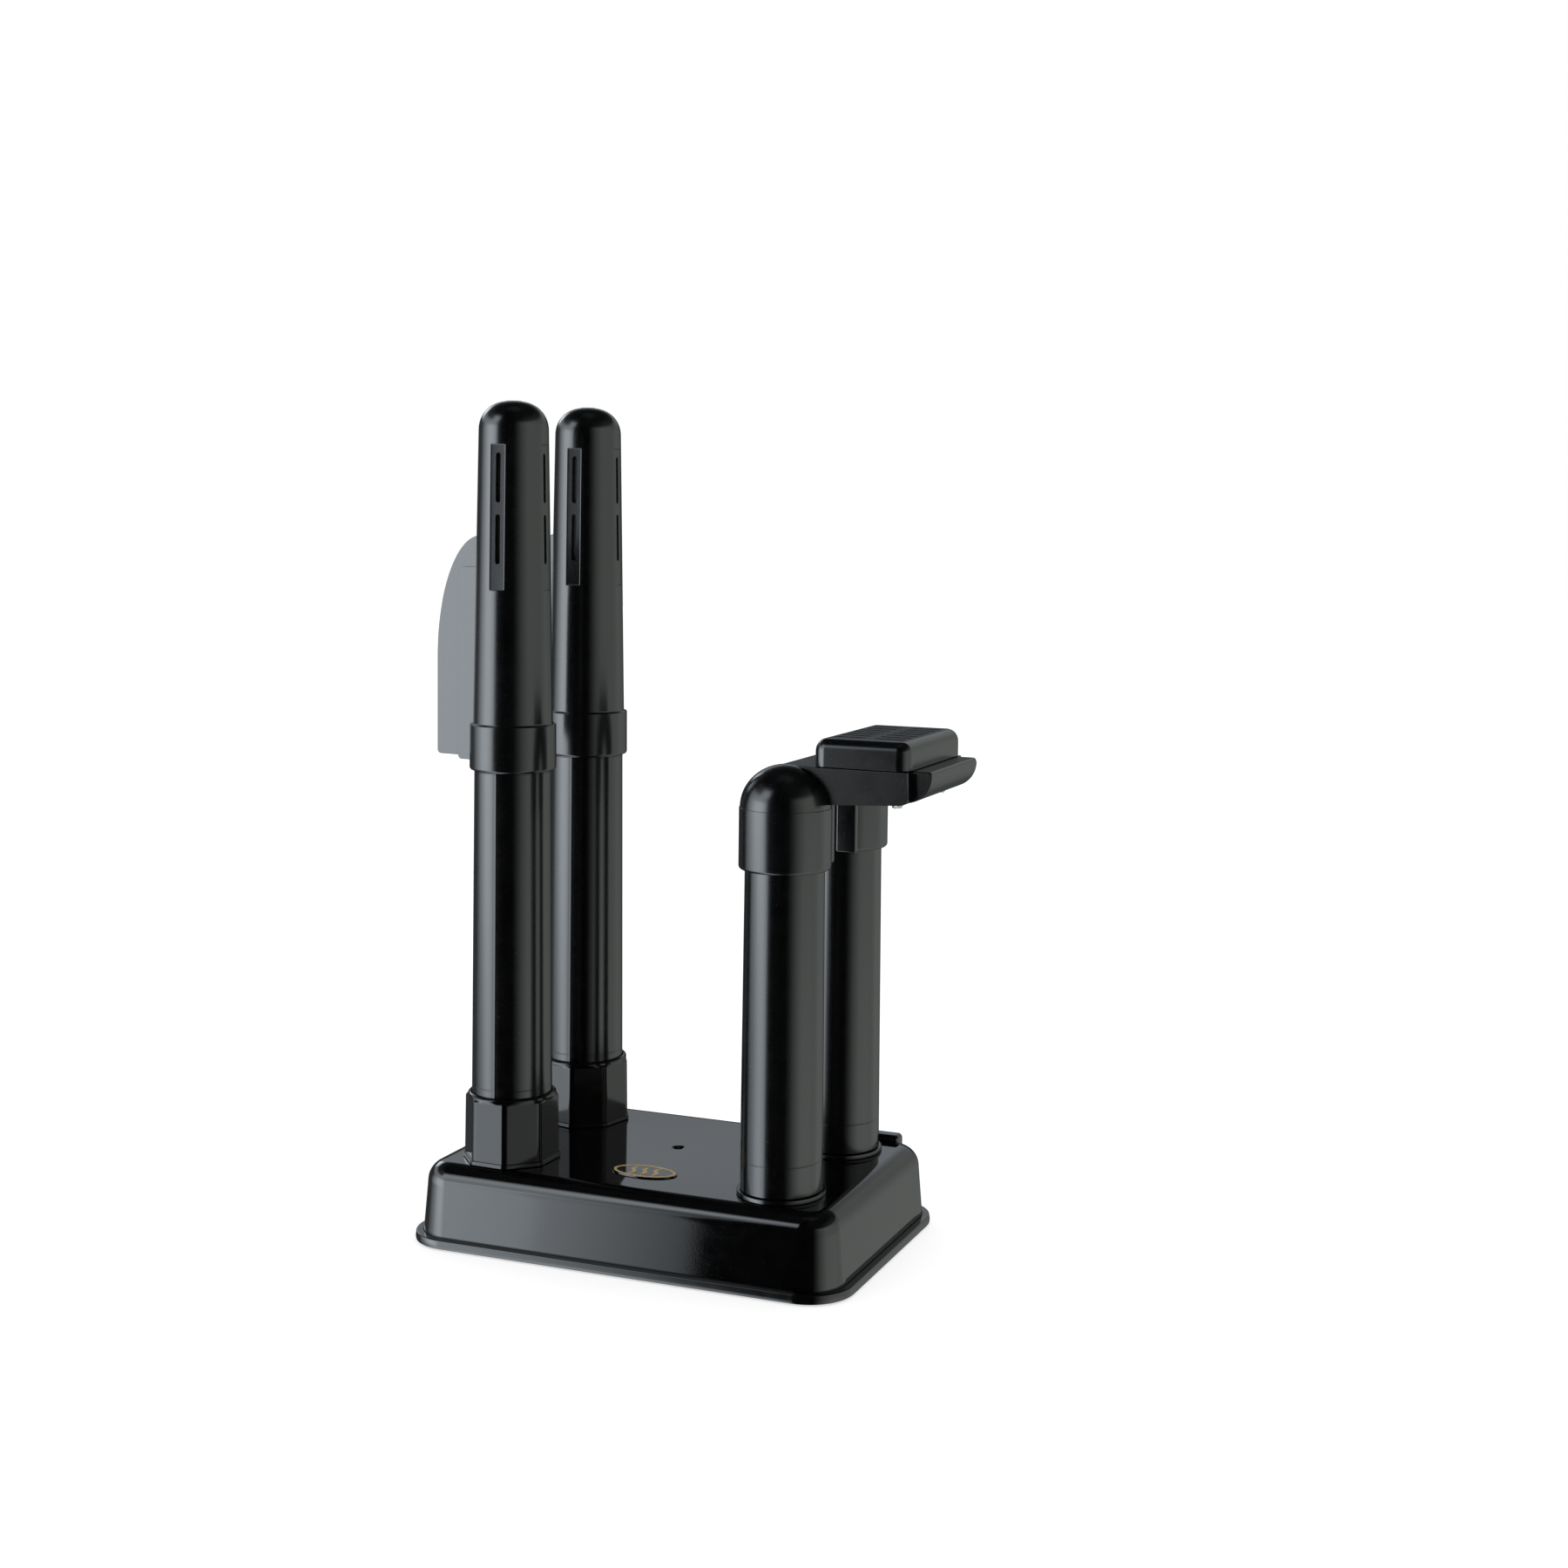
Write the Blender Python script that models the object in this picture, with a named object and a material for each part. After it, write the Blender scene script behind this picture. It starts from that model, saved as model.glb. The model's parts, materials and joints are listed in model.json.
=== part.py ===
"""Four-riser boot dryer with two glove ports and a helmet port, in metres, +Z up, standing on z = 0."""

import math

import bmesh
import bpy

MM = 0.001
ROUND = 28

# Layout: the origin is under the centre of the whole dryer, so the base sits a little to the left.
BASE_X = -17.4 * MM
RISER_X = 103.0 * MM
RISER_Y = 54.5 * MM

# Base: a pan with an upstanding lip, and a drafted cover that stands inside the lip.
PAN_HALF_X = 164.0 * MM
PAN_HALF_Y = 105.5 * MM
PAN_CORNER = 32.0 * MM
LIP_TOP = 6.8 * MM
LIP_WIDTH = 5.3 * MM
PAN_FLOOR = 3.0 * MM
PAN_BOTTOM = 0.6 * MM
COVER_GAP = 5.6 * MM
COVER_BOTTOM = 6.0 * MM
COVER_TOP = 56.0 * MM
COVER_WALL = 2.6 * MM
COVER_EDGE = 14.0 * MM
COVER_DRAFT = 3.0 * MM
HUMP_LOW_X = BASE_X + 94.0 * MM
HUMP_HIGH_X = BASE_X + 137.0 * MM
HUMP_TOP = 60.5 * MM
GLAND_X = BASE_X + 114.0 * MM
GLAND_Z = 18.0 * MM

# Risers: a duct stub held in the cover, then either a seat ring or a coupling, then a tapered tube.
STUB_RADIUS = 24.6 * MM
STUB_BORE = 22.4 * MM
STUB_TOP = 80.0 * MM
STUB_FLANGE = 27.4 * MM
RING_RADIUS = 30.2 * MM
RING_TOP = 59.2 * MM
COUPLING_TOP = 104.0 * MM
COUPLING_SEAT = 88.0 * MM
COUPLING_FLAT = 30.6 * MM
COUPLING_TURNS = {"front_left": math.radians(268.0), "back_left": math.radians(257.0)}
TUBE_LENGTH = 263.0 * MM
TUBE_BOTTOM_RADIUS = 28.0 * MM
TUBE_TOP_RADIUS = 26.5 * MM
TUBE_WALL = 2.4 * MM
CLEAR = 0.3 * MM

# Glove ports: a collar over the tube, a tapered nozzle with a round end, and one stepped fin.
COLLAR_BOTTOM = 331.0 * MM
COLLAR_TOP = 363.0 * MM
COLLAR_RADIUS = 29.9 * MM
NOZZLE_LOW_RADIUS = 27.5 * MM
NOZZLE_HIGH_RADIUS = 24.0 * MM
NOZZLE_SHOULDER = 566.0 * MM
NOZZLE_TIP = 586.0 * MM
FIN_ANGLE = math.radians(173.0)
FIN_REACH = 65.55 * MM
FIN_THICKNESS = 2.2 * MM
FIN_BOTTOM = 337.9 * MM
FIN_CURVE_FROM = 407.0 * MM
FIN_CURVE_HEIGHT = 86.0 * MM
FIN_STEP_REACH = 46.0 * MM
FIN_STEP_THICKNESS = 5.4 * MM
FIN_STEP_BOTTOM = 335.3 * MM
FIN_STEP_TOP = 471.0 * MM
FLUTE_ANGLES = [math.radians(a) for a in (93.0, 183.0, 273.0, 3.0)]
FLUTE_BOTTOM = 456.0 * MM
FLUTE_WIDTH = 11.5 * MM

# Helmet port: two domed sockets with a rib each, a flat arm to the right and a vented rest on top.
SOCKET_BOTTOM = 276.0 * MM
SOCKET_RADIUS = 31.0 * MM
SOCKET_BORE = 27.4 * MM
DOME_CENTRE = 316.0 * MM
DOME_TOP = 346.0 * MM
TUBE_STOP = 323.0 * MM
SOCKET_SPLIT = 321.0 * MM
RIB_START = 7.0 * MM
RIB_END = 22.0 * MM
RIB_FACE = 35.0 * MM
RIB_THICK = 6.0 * MM
ARM_END = 189.4 * MM
ARM_HALF_Y = 55.5 * MM
ARM_BOTTOM = 322.0 * MM
ARM_TOP = 345.0 * MM
NOSE_RADIUS = 18.0 * MM
NOSE_X = 185.0 * MM
NOSE_HEIGHT = 342.0 * MM
NOSE_HALF_Y = 48.0 * MM
REST_TOP = 364.0 * MM
REST_START = 121.5 * MM
REST_SCREWS = [(x * MM, y * MM) for x in (136.0, 178.0) for y in (-44.0, 44.0)]


def material(name, colour, roughness, metallic=0.0):
    """A named material with the piece's plain look."""
    look = bpy.data.materials.new(name)
    look.use_nodes = True
    shader = look.node_tree.nodes["Principled BSDF"]
    shader.inputs["Base Color"].default_value = (*colour, 1.0)
    shader.inputs["Roughness"].default_value = roughness
    shader.inputs["Metallic"].default_value = metallic
    return look


def finish(name, bm, look, location=(0.0, 0.0, 0.0)):
    """Turns a closed bmesh into an object with its faces pointing out."""
    bmesh.ops.recalc_face_normals(bm, faces=bm.faces[:])
    mesh = bpy.data.meshes.new(name)
    bm.to_mesh(mesh)
    bm.free()
    mesh.shade_smooth()
    mesh.set_sharp_from_angle(angle=math.radians(35.0))
    if look is not None:
        mesh.materials.append(look)
    piece = bpy.data.objects.new(name, mesh)
    piece.location = location
    bpy.context.scene.collection.objects.link(piece)
    return piece


def loft(name, loops, look=None, location=(0.0, 0.0, 0.0)):
    """A solid through loops that all have the same number of points, capped at both ends."""
    bm = bmesh.new()
    rings = [[bm.verts.new(point) for point in loop] for loop in loops]
    for low, high in zip(rings, rings[1:]):
        for i, corner in enumerate(low):
            j = (i + 1) % len(low)
            bm.faces.new((corner, low[j], high[j], high[i]))
    bm.faces.new(rings[0])
    bm.faces.new(rings[-1])
    return finish(name, bm, look, location)


def turned(name, profile, sides, look=None, location=(0.0, 0.0, 0.0)):
    """A turned solid. The (radius, height) profile is a closed ring, or runs from the axis to the axis."""
    bm = bmesh.new()
    turns = [2.0 * math.pi * i / sides for i in range(sides)]
    rows = []
    for radius, height in profile:
        if radius == 0.0:
            rows.append([bm.verts.new((0.0, 0.0, height))] * sides)
        else:
            rows.append([bm.verts.new((radius * math.cos(t), radius * math.sin(t), height)) for t in turns])
    on_axis = profile[0][0] == 0.0
    pairs = list(zip(rows, rows[1:]))
    if not on_axis:
        pairs.append((rows[-1], rows[0]))
    for low, high in pairs:
        for i in range(sides):
            j = (i + 1) % sides
            corners = dict.fromkeys((low[i], low[j], high[j], high[i]))
            bm.faces.new(list(corners))
    return finish(name, bm, look, location)


def block(name, low, high, look=None):
    """A box between two corners, with its origin at its centre."""
    middle = [(a + b) / 2.0 for a, b in zip(low, high)]
    bm = bmesh.new()
    bmesh.ops.create_cube(bm, size=1.0)
    bmesh.ops.scale(bm, vec=[b - a for a, b in zip(low, high)], verts=bm.verts[:])
    return finish(name, bm, look, middle)


def bevelled_block(name, low, high, width, look=None, steps=2):
    """A box with its edges rounded by a Bevel modifier."""
    piece = block(name, low, high, look)
    bevel = piece.modifiers.new("edges", "BEVEL")
    bevel.width = width
    bevel.segments = steps
    bevel.limit_method = "NONE"
    return piece


def prism(name, outline, depth, look=None):
    """An outline of (x, z) points pushed both ways along Y by half the depth."""
    front = [(x, -depth / 2.0, z) for x, z in outline]
    back = [(x, depth / 2.0, z) for x, z in outline]
    return loft(name, [front, back], look)


def rod(name, radius, low, high, sides, x, y, look=None):
    """A plain upright cylinder at (x, y)."""
    return turned(name, [(0.0, low), (radius, low), (radius, high), (0.0, high)], sides, look, (x, y, 0.0))


def helper(piece):
    """Marks a piece as one that only cuts or joins."""
    piece.hide_render = True
    piece.display_type = "WIRE"
    return piece


def combine(piece, other, operation):
    change = piece.modifiers.new(other.name, "BOOLEAN")
    change.operation = operation
    change.object = helper(other)
    change.solver = "EXACT"


def cut(piece, other):
    combine(piece, other, "DIFFERENCE")


def join(piece, other):
    combine(piece, other, "UNION")


def rounded_rectangle(half_x, half_y, corner, height, steps=5, centre_x=BASE_X):
    """Points round a rectangle with round corners."""
    points = []
    for quarter, (sx, sy) in enumerate(((1, 1), (-1, 1), (-1, -1), (1, -1))):
        for i in range(steps + 1):
            turn = math.radians(90.0 * (quarter + i / steps))
            x = sx * (half_x - corner) + corner * math.cos(turn)
            y = sy * (half_y - corner) + corner * math.sin(turn)
            points.append((centre_x + x, y, height))
    return points


def base_loop(inset, height, steps=5):
    """The base's outline, moved in from the lip's outer face."""
    corner = max(PAN_CORNER - inset, 6.0 * MM)
    return rounded_rectangle(PAN_HALF_X - inset, PAN_HALF_Y - inset, corner, height, steps)


def risers():
    """The four riser positions with their names."""
    return [
        ("front_left", BASE_X - RISER_X, -RISER_Y),
        ("back_left", BASE_X - RISER_X, RISER_Y),
        ("front_right", BASE_X + RISER_X, -RISER_Y),
        ("back_right", BASE_X + RISER_X, RISER_Y),
    ]


def make_pan(look):
    """The bottom pan: a floor with intake slots, and a lip that stands round the cover."""
    loops = [
        base_loop(LIP_WIDTH, PAN_FLOOR + 2.4 * MM),
        base_loop(LIP_WIDTH, LIP_TOP),
        base_loop(0.7 * MM, LIP_TOP),
        base_loop(0.0, 3.0 * MM),
        base_loop(0.8 * MM, PAN_BOTTOM),
        base_loop(3.6 * MM, PAN_BOTTOM),
        base_loop(4.6 * MM, PAN_FLOOR),
    ]
    pan = loft("base_pan", loops, look)
    for side in (-1, 1):
        for row in range(6):
            x = BASE_X + side * (RISER_X - 2.0 * MM) + (row - 2.5) * 14.0 * MM
            low = (x - 1.75 * MM, -34.0 * MM, 0.0)
            cut(pan, block(f"intake_slot_{side}_{row}", low, (x + 1.75 * MM, 34.0 * MM, 10.0 * MM)))
    for name, x, y in fasteners():
        cut(pan, rod(f"{name}_screw_hole", 2.1 * MM, 0.0, 9.0 * MM, 10, x, y))
    for name, x, y in feet_positions():
        cut(pan, rod(f"{name}_foot_hole", 2.8 * MM, 0.0, 9.0 * MM, 10, x, y))
    return pan


def corners(half_x, half_y):
    names = ("front_left", "back_left", "front_right", "back_right")
    spots = ((-1, -1), (-1, 1), (1, -1), (1, 1))
    return [(n, BASE_X + sx * half_x, sy * half_y) for n, (sx, sy) in zip(names, spots)]


def fasteners():
    """Where the base screws are."""
    return corners(36.0 * MM, 72.0 * MM)


def feet_positions():
    """Where the rubber feet are."""
    return corners(138.0 * MM, 80.0 * MM)


def make_cover(look):
    """The cover: a drafted shell with a round top edge, a hole for each duct and a post for each screw."""
    top_inset = COVER_GAP + COVER_DRAFT
    outside = [base_loop(COVER_GAP, COVER_BOTTOM), base_loop(top_inset, COVER_TOP - COVER_EDGE)]
    inside = [base_loop(COVER_GAP + COVER_WALL, COVER_BOTTOM)]
    inside.append(base_loop(top_inset + COVER_WALL, COVER_TOP - COVER_EDGE))
    for i in range(1, 5):
        turn = math.radians(22.5 * i)
        step_in = COVER_EDGE * (1.0 - math.cos(turn))
        rise = COVER_EDGE * math.sin(turn)
        outside.append(base_loop(top_inset + step_in, COVER_TOP - COVER_EDGE + rise))
    for turn in (math.radians(40.0), math.radians(90.0)):
        radius = COVER_EDGE - COVER_WALL
        step_in = COVER_WALL + radius * (1.0 - math.cos(turn))
        inside.append(base_loop(top_inset + step_in, COVER_TOP - COVER_EDGE + radius * math.sin(turn)))
    cover = loft("base_cover", list(reversed(inside)) + outside, look)
    for name, x, y in risers():
        cut(cover, rod(f"{name}_hole", STUB_RADIUS + CLEAR, 45.0 * MM, 90.0 * MM, ROUND, x, y))
    for name, x, y in fasteners():
        post = turned(f"{name}_post", [
            (0.0, COVER_BOTTOM + 0.6 * MM),
            (4.6 * MM, COVER_BOTTOM + 0.6 * MM),
            (5.4 * MM, COVER_TOP - 1.6 * MM),
            (0.0, COVER_TOP - 1.6 * MM),
        ], 16, location=(x, y, 0.0))
        join(cover, post)
        cut(cover, rod(f"{name}_pilot", 1.8 * MM, 0.0, 20.0 * MM, 10, x, y))
    dimple = turned("top_dimple", [
        (0.0, COVER_TOP - 1.2 * MM),
        (3.2 * MM, COVER_TOP - 1.2 * MM),
        (4.8 * MM, COVER_TOP + 0.4 * MM),
        (0.0, COVER_TOP + 0.4 * MM),
    ], 16, location=(BASE_X - 4.0 * MM, 10.0 * MM, 0.0))
    cut(cover, dimple)
    low = (HUMP_LOW_X, 85.8 * MM, 44.0 * MM)
    join(cover, bevelled_block("cord_hump", low, (HUMP_HIGH_X, 96.0 * MM, HUMP_TOP), 3.0 * MM))
    half = 5.2 * MM
    low = (GLAND_X - half, 90.0 * MM, GLAND_Z - half)
    cut(cover, block("gland_hole", low, (GLAND_X + half, 110.0 * MM, GLAND_Z + half)))
    return cover


def make_duct_stub(name, x, y, look):
    """A short duct pushed up through the cover's hole until its flange meets the underside."""
    turned(f"{name}_duct_stub", [
        (STUB_BORE, 50.2 * MM),
        (STUB_FLANGE, 50.2 * MM),
        (STUB_FLANGE, COVER_TOP - COVER_WALL - CLEAR),
        (STUB_RADIUS, COVER_TOP - COVER_WALL - CLEAR),
        (STUB_RADIUS, STUB_TOP - 1.0 * MM),
        (STUB_RADIUS - 0.8 * MM, STUB_TOP),
        (STUB_BORE, STUB_TOP),
    ], ROUND, look, (x, y, 0.0))


def make_gland(look):
    """The cord inlet: a stepped bush held in a square hole of the back wall."""
    bush = loft("cord_gland", [
        gland_loop(7.6 * MM, 92.0 * MM),
        gland_loop(7.6 * MM, 95.2 * MM),
        gland_loop(4.9 * MM, 95.2 * MM),
        gland_loop(4.9 * MM, 100.4 * MM),
        gland_loop(6.8 * MM, 100.4 * MM),
        gland_loop(6.8 * MM, 102.6 * MM),
        gland_loop(5.0 * MM, 105.4 * MM),
    ], look)
    passage = rod("gland_passage", 2.8 * MM, -10.0 * MM, 10.0 * MM, 16, GLAND_X, 98.0 * MM)
    passage.location.z = GLAND_Z
    passage.rotation_euler = (math.radians(90.0), 0.0, 0.0)
    cut(bush, passage)
    return bush


def gland_loop(half, y):
    """A square outline with cut corners in the plane of the back wall."""
    trim = 0.3 * half
    outline = [(half, -half + trim), (half, half - trim), (half - trim, half), (-half + trim, half),
               (-half, half - trim), (-half, -half + trim), (-half + trim, -half), (half - trim, -half)]
    return [(GLAND_X + x, y, GLAND_Z + z) for x, z in outline]


def make_feet(look):
    """Rubber feet, each with a stem through the pan's floor."""
    profile = [
        (0.0, 0.0),
        (8.2 * MM, 0.0),
        (9.0 * MM, 0.8 * MM),
        (8.6 * MM, PAN_FLOOR - CLEAR),
        (2.5 * MM, PAN_FLOOR - CLEAR),
        (2.5 * MM, 8.0 * MM),
        (0.0, 8.8 * MM),
    ]
    for name, x, y in feet_positions():
        turned(f"{name}_foot", profile, 14, look, (x, y, 0.0))


def make_base_screws(look):
    """Pan-head screws from below, each into a post of the cover."""
    for name, x, y in fasteners():
        head = turned(f"{name}_base_screw", [
            (0.0, 0.9 * MM),
            (3.4 * MM, 0.9 * MM),
            (4.0 * MM, 1.5 * MM),
            (4.0 * MM, PAN_FLOOR - CLEAR),
            (1.5 * MM, PAN_FLOOR - CLEAR),
            (1.5 * MM, 15.0 * MM),
            (0.0, 17.0 * MM),
        ], 12, look, (x, y, 0.0))
        for i, (wide, long) in enumerate(((0.45, 2.2), (2.2, 0.45))):
            low = (x - wide * MM, y - long * MM, 0.5 * MM)
            cut(head, block(f"{name}_recess_{i}", low, (x + wide * MM, y + long * MM, 1.9 * MM)))


def make_badge(look):
    """A plain oval badge set on the cover's top."""
    steps = 24
    loops = []
    for grow, height in ((0.0, 0.3), (0.0, 0.8), (-0.5, 1.1)):
        loop = []
        for i in range(steps):
            turn = 2.0 * math.pi * i / steps
            x = BASE_X + (24.0 + grow) * MM * math.cos(turn)
            y = -52.0 * MM + (13.0 + grow) * MM * math.sin(turn)
            loop.append((x, y, COVER_TOP + height * MM))
        loops.append(loop)
    return loft("badge", loops, look)


def make_heater(side, look_plate, look_core):
    """A warming plate on spacers over the intake slots, and the cartridge element clipped on it."""
    name = "left" if side < 0 else "right"
    x = BASE_X + side * RISER_X
    low = (x - 33.0 * MM, -74.0 * MM, 20.0 * MM)
    high = (x + 33.0 * MM, 74.0 * MM, 21.6 * MM)
    plate = bevelled_block(f"{name}_heater_plate", low, high, 0.5 * MM, look_plate, 1)
    for row in range(5):
        y = (row - 2.0) * 27.0 * MM
        low = (x - 24.0 * MM, y - 5.0 * MM, 15.0 * MM)
        cut(plate, block(f"{name}_plate_window_{row}", low, (x + 24.0 * MM, y + 5.0 * MM, 30.0 * MM)))
    core = turned(f"{name}_heater_element", [
        (0.0, -72.0 * MM), (4.4 * MM, -72.0 * MM), (5.0 * MM, -71.0 * MM),
        (5.0 * MM, 71.0 * MM), (4.4 * MM, 72.0 * MM), (0.0, 72.0 * MM),
    ], 16, look_core, (x, 0.0, 27.0 * MM))
    core.rotation_euler = (math.radians(90.0), 0.0, 0.0)


def make_shield(look):
    """A folded reflector sheet in the middle of the base."""
    outline = [(-46.0, 10.5), (-46.0, 9.3), (-28.5, 9.3), (-28.5, 7.6), (28.5, 7.6), (28.5, 9.3), (46.0, 9.3),
               (46.0, 10.5), (27.3, 10.5), (27.3, 8.8), (-27.3, 8.8), (-27.3, 10.5)]
    shield = prism("heat_shield", [(BASE_X + x * MM, z * MM) for x, z in outline], 120.0 * MM, look)
    return shield


def make_wiring(look_block, look_switch):
    """The terminal block behind the cord inlet, and the thermal cut-out beside it."""
    low = (GLAND_X - 18.0 * MM, 77.0 * MM, 7.0 * MM)
    high = (GLAND_X + 12.0 * MM, 89.0 * MM, 21.0 * MM)
    strip = bevelled_block("terminal_block", low, high, 1.0 * MM, look_block, 1)
    for i in range(3):
        x = GLAND_X - 13.0 * MM + i * 10.0 * MM
        cut(strip, rod(f"terminal_well_{i}", 2.6 * MM, 12.0 * MM, 30.0 * MM, 10, x, 83.0 * MM))
    turned("thermal_cutout", [
        (0.0, 0.0),
        (9.0 * MM, 0.0),
        (9.0 * MM, 2.0 * MM),
        (7.6 * MM, 2.6 * MM),
        (7.6 * MM, 9.0 * MM),
        (6.8 * MM, 9.8 * MM),
        (0.0, 9.8 * MM),
    ], 20, look_switch, (BASE_X, 0.0, 11.0 * MM))


def make_seat_ring(name, x, y, look):
    """A thin flange ring that the right-hand tubes stand on."""
    low = COVER_TOP + CLEAR
    turned(f"{name}_seat_ring", [
        (STUB_RADIUS + 0.5 * MM, low),
        (RING_RADIUS, low),
        (RING_RADIUS - 0.4 * MM, RING_TOP),
        (STUB_RADIUS + 0.5 * MM, RING_TOP),
    ], ROUND, look, (x, y, 0.0))


def octagon(radius, blend, height, start, sides=32):
    """A ring that goes from a circle (blend 0) to an octagon with flats at that radius (blend 1)."""
    ring = []
    for i in range(sides):
        turn = 2.0 * math.pi * i / sides
        off = (turn + math.radians(22.5)) % math.radians(45.0) - math.radians(22.5)
        reach = radius / math.cos(off)
        reach = min(reach, radius * 1.065)
        size = radius + blend * (reach - radius)
        ring.append((size * math.cos(turn + start), size * math.sin(turn + start), height))
    return ring


def make_coupling(name, x, y, look):
    """An eight-sided coupling over a stub, with a socket for the tube on top."""
    flat = COUPLING_FLAT
    low = COVER_TOP + CLEAR
    steps = [
        (STUB_RADIUS + 0.5 * MM, 0.0, COUPLING_SEAT),
        (STUB_RADIUS + 0.5 * MM, 0.0, low),
        (flat + 1.4 * MM, 1.0, low),
        (flat + 0.9 * MM, 1.0, low + 3.0 * MM),
        (flat - 0.2 * MM, 1.0, COUPLING_TOP - 4.0 * MM),
        (flat - 0.2 * MM, 0.0, COUPLING_TOP),
        (TUBE_BOTTOM_RADIUS + 0.4 * MM, 0.0, COUPLING_TOP),
        (TUBE_BOTTOM_RADIUS + 0.4 * MM, 0.0, COUPLING_SEAT),
    ]
    loops = [octagon(radius, blend, height, COUPLING_TURNS[name]) for radius, blend, height in steps]
    bm = bmesh.new()
    rings = [[bm.verts.new(point) for point in loop] for loop in loops]
    for low_ring, high_ring in zip(rings, rings[1:] + rings[:1]):
        for i, corner in enumerate(low_ring):
            j = (i + 1) % len(low_ring)
            bm.faces.new((corner, low_ring[j], high_ring[j], high_ring[i]))
    finish(f"{name}_coupling", bm, look, (x, y, 0.0))


def make_tube(name, x, y, bottom, look):
    """A tapered riser tube, a little wider at its foot."""
    top = TUBE_LENGTH

    def radius(height):
        return TUBE_BOTTOM_RADIUS + (TUBE_TOP_RADIUS - TUBE_BOTTOM_RADIUS) * height / top

    profile = [
        (radius(0.0) - TUBE_WALL, 0.0),
        (radius(0.0), 0.0),
        (radius(top), top),
        (radius(top) - TUBE_WALL, top),
    ]
    turned(f"{name}_tube", profile, ROUND, look, (x, y, bottom))


def nozzle_radius(height):
    share = (height - COLLAR_TOP) / (NOZZLE_SHOULDER - COLLAR_TOP)
    return NOZZLE_LOW_RADIUS + (NOZZLE_HIGH_RADIUS - NOZZLE_LOW_RADIUS) * share


def nozzle_profile(inner_seat):
    """The collar and the nozzle with its round closed end, as one turned wall."""
    wall = 2.2 * MM
    bore = TUBE_TOP_RADIUS + 0.5 * MM
    outer = [
        (bore, COLLAR_BOTTOM),
        (COLLAR_RADIUS - 1.2 * MM, COLLAR_BOTTOM),
        (COLLAR_RADIUS, COLLAR_BOTTOM + 1.6 * MM),
        (COLLAR_RADIUS - 0.2 * MM, COLLAR_TOP),
        (nozzle_radius(COLLAR_TOP), COLLAR_TOP),
        (nozzle_radius(NOZZLE_SHOULDER), NOZZLE_SHOULDER),
    ]
    reach = NOZZLE_TIP - NOZZLE_SHOULDER
    for i in (1, 2, 3):
        turn = math.radians(22.5 * i)
        outer.append((NOZZLE_HIGH_RADIUS * math.cos(turn) ** 0.8, NOZZLE_SHOULDER + reach * math.sin(turn)))
    outer.append((5.0 * MM, NOZZLE_TIP))
    outer.append((5.0 * MM, NOZZLE_TIP - wall))
    for i in (3, 1):
        turn = math.radians(22.5 * i)
        radius = (NOZZLE_HIGH_RADIUS - wall) * math.cos(turn) ** 0.8
        outer.append((radius, NOZZLE_SHOULDER + (reach - wall) * math.sin(turn)))
    outer.append((NOZZLE_HIGH_RADIUS - wall, NOZZLE_SHOULDER))
    outer.append((nozzle_radius(COLLAR_TOP) - wall, COLLAR_TOP))
    outer.append((24.2 * MM, inner_seat))
    outer.append((bore, inner_seat))
    return outer


def fin_corner(reach, bottom):
    """The root and the round lower corner of a fin plate, as (distance from the axis, height)."""
    return [
        (COLLAR_RADIUS - 1.6 * MM, bottom),
        (reach - 3.0 * MM, bottom),
        (reach - 0.9 * MM, bottom + 0.9 * MM),
        (reach, bottom + 3.0 * MM),
    ]


def fin_root(top):
    """The inner edge of a fin plate, inside the wall of the nozzle and the collar."""
    heights = (top, COLLAR_TOP - 4.0 * MM)
    inside = [(nozzle_radius(z) - 1.7 * MM, z) for z in heights]
    return inside + [(COLLAR_RADIUS - 1.6 * MM, COLLAR_TOP - 7.5 * MM)]


def fin_plate(name, outline, thickness):
    """A plate in the upright plane through the port's axis at the fin's angle."""
    along = (math.cos(FIN_ANGLE), math.sin(FIN_ANGLE))
    loops = []
    for side in (-0.5, 0.5):
        off = side * thickness
        loops.append([(d * along[0] - off * along[1], d * along[1] + off * along[0], z) for d, z in outline])
    return loft(name, loops)


def make_fins(name):
    """The fin's two layers: a thin wing with a curved top, and a thick inner half with its own step."""
    wing = fin_corner(FIN_REACH, FIN_BOTTOM) + [(FIN_REACH, FIN_CURVE_FROM)]
    span = FIN_REACH - NOZZLE_LOW_RADIUS
    for i in range(1, 9):
        rise = FIN_CURVE_HEIGHT * math.sin(math.radians(90.0 * i / 8.6))
        share = math.sqrt(1.0 - (rise / FIN_CURVE_HEIGHT) ** 2)
        wing.append((NOZZLE_LOW_RADIUS + span * share, FIN_CURVE_FROM + rise))
    wing += fin_root(FIN_CURVE_FROM + 0.985 * FIN_CURVE_HEIGHT)
    step = fin_corner(FIN_STEP_REACH, FIN_STEP_BOTTOM) + [
        (FIN_STEP_REACH, FIN_STEP_TOP - 6.0 * MM),
        (FIN_STEP_REACH - 1.8 * MM, FIN_STEP_TOP - 1.8 * MM),
        (FIN_STEP_REACH - 6.0 * MM, FIN_STEP_TOP),
    ]
    step += fin_root(FIN_STEP_TOP)
    return [
        fin_plate(f"{name}_wing", wing, FIN_THICKNESS),
        fin_plate(f"{name}_step", step, FIN_STEP_THICKNESS),
    ]


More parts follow.
